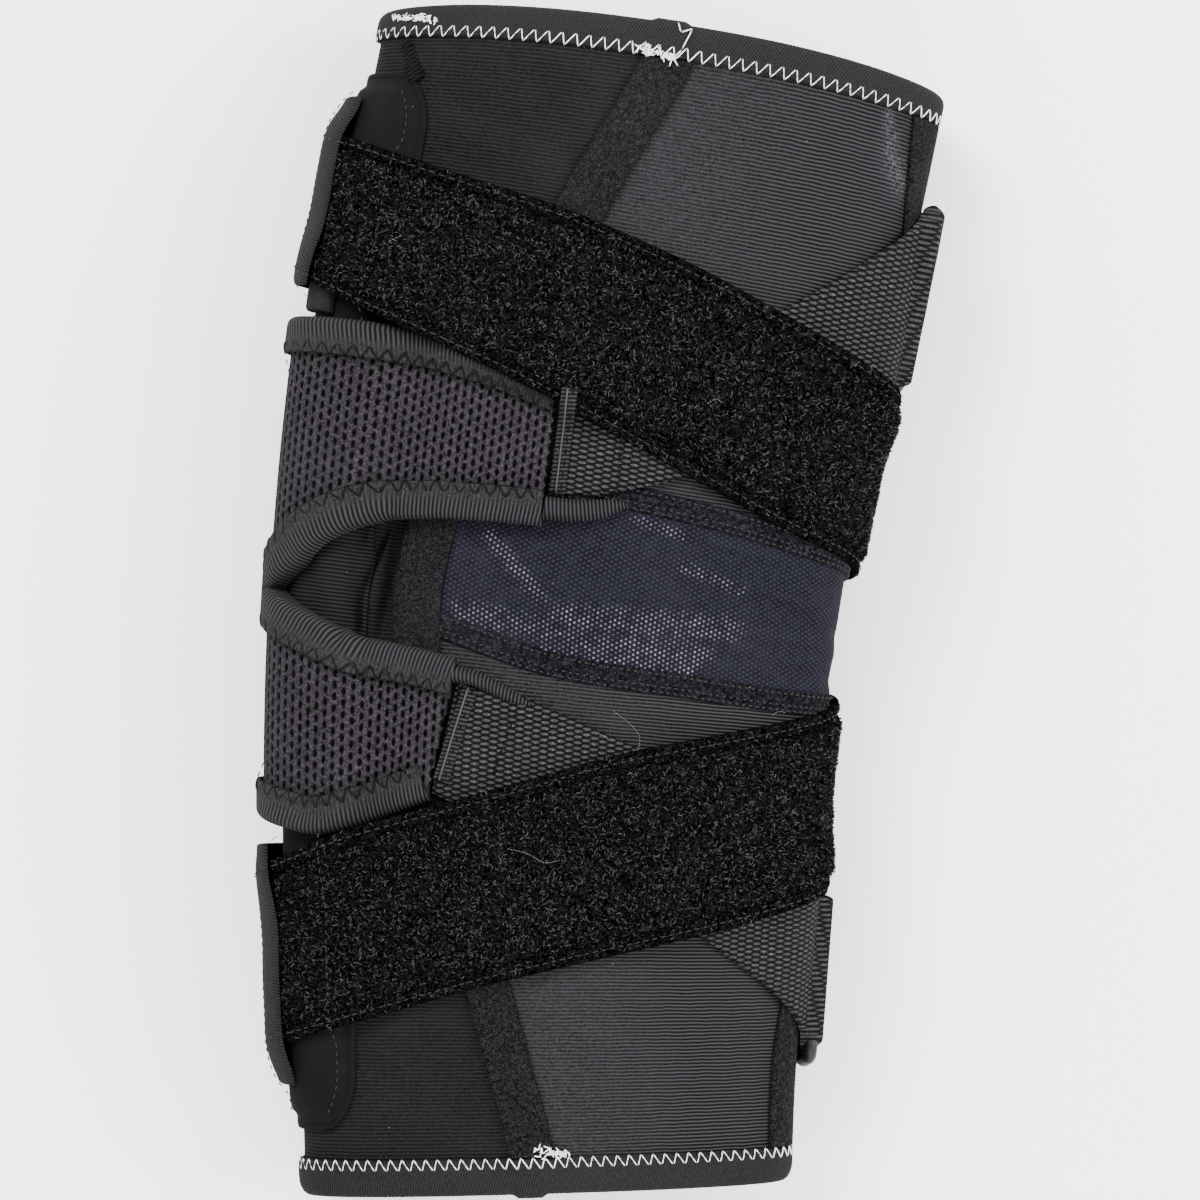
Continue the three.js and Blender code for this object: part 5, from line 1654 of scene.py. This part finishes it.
# %% Spacer mesh
def spacer(tree, flat, place):
    holes = placed(tree, "staggered", vector=flat, across=HOLE["across"] * MM, along=HOLE["along"] * MM,
                   wide=0.00052, long=0.00108)["Mask"]
    yarn = placed(tree, "fibres", vector=place, scale=1600.0, twist=1.0)
    ground = tone_mix(tree, spread(tree, yarn["Height"], 0.38, 0.68), (0.0050, 0.0040, 0.0050),
                      (0.036, 0.031, 0.036))
    height = math_node(tree, "MULTIPLY_ADD", holes, -1.5, yarn["Height"])
    # The holes are painted near black: painted shade in the holes, over their shallow dimples.
    return tone_mix(tree, holes, ground, (0.0004, 0.0004, 0.0004)), height


wear(finish_of("spacer_knit", spacer, bump=0.0004), mesh_frame)

# %% Elastic webbing
def webbing_cloth(tree, flat, place):
    bars = placed(tree, "staggered", vector=flat, across=0.0050, along=0.00165, wide=0.00130,
                  long=0.00050)["Mask"]
    yarn = placed(tree, "fibres", vector=place, scale=1800.0, twist=0.8)
    # Painted glints on the bars of the weave.
    light = tone_mix(tree, yarn["Glint"], grey(0.022, 1.03), grey(0.080, 1.03))
    height = math_node(tree, "MULTIPLY_ADD", yarn["Height"], 0.3, bars)
    # The gaps between the bars are painted near black: painted shade.
    return tone_mix(tree, bars, grey(0.0016), light), height


wear(finish_of("webbing_cloth", webbing_cloth, bump=0.0006), web_upper, web_lower)

# %% Plastic and thread
def plastic(tree, flat, place):
    grain = node(tree, "TexNoise", {"Vector": place, "Scale": 900.0, "Detail": 2.0}).outputs["Fac"]
    return tone_mix(tree, grain, grey(0.003), grey(0.006)), grain


def thread(dark, light):
    def build(tree, flat, place):
        twist = node(tree, "TexNoise", {"Vector": place, "Scale": 2200.0, "Detail": 2.0}).outputs["Fac"]
        return tone_mix(tree, twist, dark, light), twist
    return build


wear(finish_of("moulded_plastic", plastic, roughness=0.5, bump=0.00002, specular=0.2), ring_upper, ring_lower)
white_thread = finish_of("white_thread", thread(grey(0.42, 1), grey(0.80, 1)), roughness=0.7, bump=0.0001,
                         bloom=0.0)
black_thread = finish_of("black_thread", thread(grey(0.0004), grey(0.0040)), roughness=0.6, bump=0.0001)
seam_thread = finish_of("seam_thread", thread(grey(0.003), grey(0.030)), roughness=0.6, bump=0.0001)
pale_piping = finish_of("pale_piping", thread(grey(0.020), grey(0.075)), roughness=0.7, bump=0.0002)
lint_hair = finish_of("lint_hair", thread(grey(0.10, 1), grey(0.22, 1)), roughness=0.6, bump=0.0001)
wear(white_thread, white_thigh, white_calf, *knots)
wear(black_thread, *frame_threads, *arm_stitches, *box_stitches, serged)
wear(seam_thread, *band_rows, *pocket_rows, *strap_rows)
wear(pale_piping, *arm_pipings)
wear(lint_hair, *hairs)
bare = [piece.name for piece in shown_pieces() if not piece.data.materials]
print("pieces without a finish:", bare)


# %% [markdown]
# ## Floor and light
# A plain pale floor and large soft lights, as in a product studio, so black cloth shows by its sheen.

# %% Floor and lights
bm = bmesh.new()
bmesh.ops.create_grid(bm, x_segments=1, y_segments=1, size=6)
floor_mesh = bpy.data.meshes.new("floor")
bm.to_mesh(floor_mesh)
bm.free()
floor = bpy.data.objects.new("floor", floor_mesh)
floor.location.z = -0.0002
bpy.context.collection.objects.link(floor)
paper = bpy.data.materials.new("floor_paper")
paper.use_nodes = True
paper_shader = paper.node_tree.nodes["Principled BSDF"]
paper_shader.inputs["Base Color"].default_value = (0.93, 0.93, 0.93, 1)
paper_shader.inputs["Roughness"].default_value = 0.95
paper_shader.inputs["Specular IOR Level"].default_value = 0.0
floor.data.materials.append(paper)


def softbox(name, place, aim, size, power):
    """A square area light at a place, turned to its aim."""
    light = bpy.data.lights.new(name, "AREA")
    light.energy = power
    light.size = size
    lamp = bpy.data.objects.new(name, light)
    lamp.location = place
    lamp.rotation_euler = (Vector(aim) - Vector(place)).to_track_quat("-Z", "Y").to_euler()
    bpy.context.collection.objects.link(lamp)


softbox("key", (-0.9, 1.1, 1.5), (0, 0, 0.03), 0.9, 90)
softbox("fill", (1.3, 0.2, 1.1), (0, 0, 0.03), 1.1, 55)
softbox("rim", (0.2, -1.4, 0.9), (0, 0, 0.03), 0.9, 30)
world = bpy.data.worlds.new("studio")
world.use_nodes = True
world.node_tree.nodes["Background"].inputs["Color"].default_value = (0.95, 0.97, 1.0, 1)
world.node_tree.nodes["Background"].inputs["Strength"].default_value = 2.0
bpy.context.scene.world = world

# %% [markdown]
# ## Sizes of the cloths
# Each cloth in the lists below gets its size printed. Its size is the span of its flat grid, scaled
# up until the rectangle holds the finished mesh's area, so it is no measure of the real cut.


def declared_size(piece):
    """Area of one face of a finished cloth, and its grid's span scaled up to hold that area, in metres."""
    mesh = piece.data
    area = sum(face.area for face in mesh.polygons) / 2
    uv = np.empty(2 * len(mesh.loops), np.float32)
    mesh.uv_layers["flat"].data.foreach_get("uv", uv)
    span = np.ptp(uv.reshape(-1, 2), axis=0)
    stretch = math.sqrt(max(1.0, area / (span[0] * span[1])))
    return area, float(span[0] * stretch) * 1.001, float(span[1] * stretch) * 1.001


def declare(held, rests_on, *pieces):
    for piece in pieces:
        area, wide, long = declared_size(piece)
        print(f"{piece.name}: {1000 * wide:.0f} x {1000 * long:.0f} mm, {10000 * area:.0f} cm2")


declare("laid", ["floor"], front, rear_lower)
declare("stretched", [front], rear_upper, behind_knee)
declare("folded", [front], hem_calf, hem_thigh)
declare("laid", [front], tape_left, tape_right, pocket_left, pocket_right, gusset, *bands)
declare("folded", [pocket_left], mesh_frame, binding_notch, binding_high, binding_low, binding_round)
declare("stretched", [rear_upper], web_upper, web_lower, strap_upper, strap_lower, keeper_upper, keeper_lower)
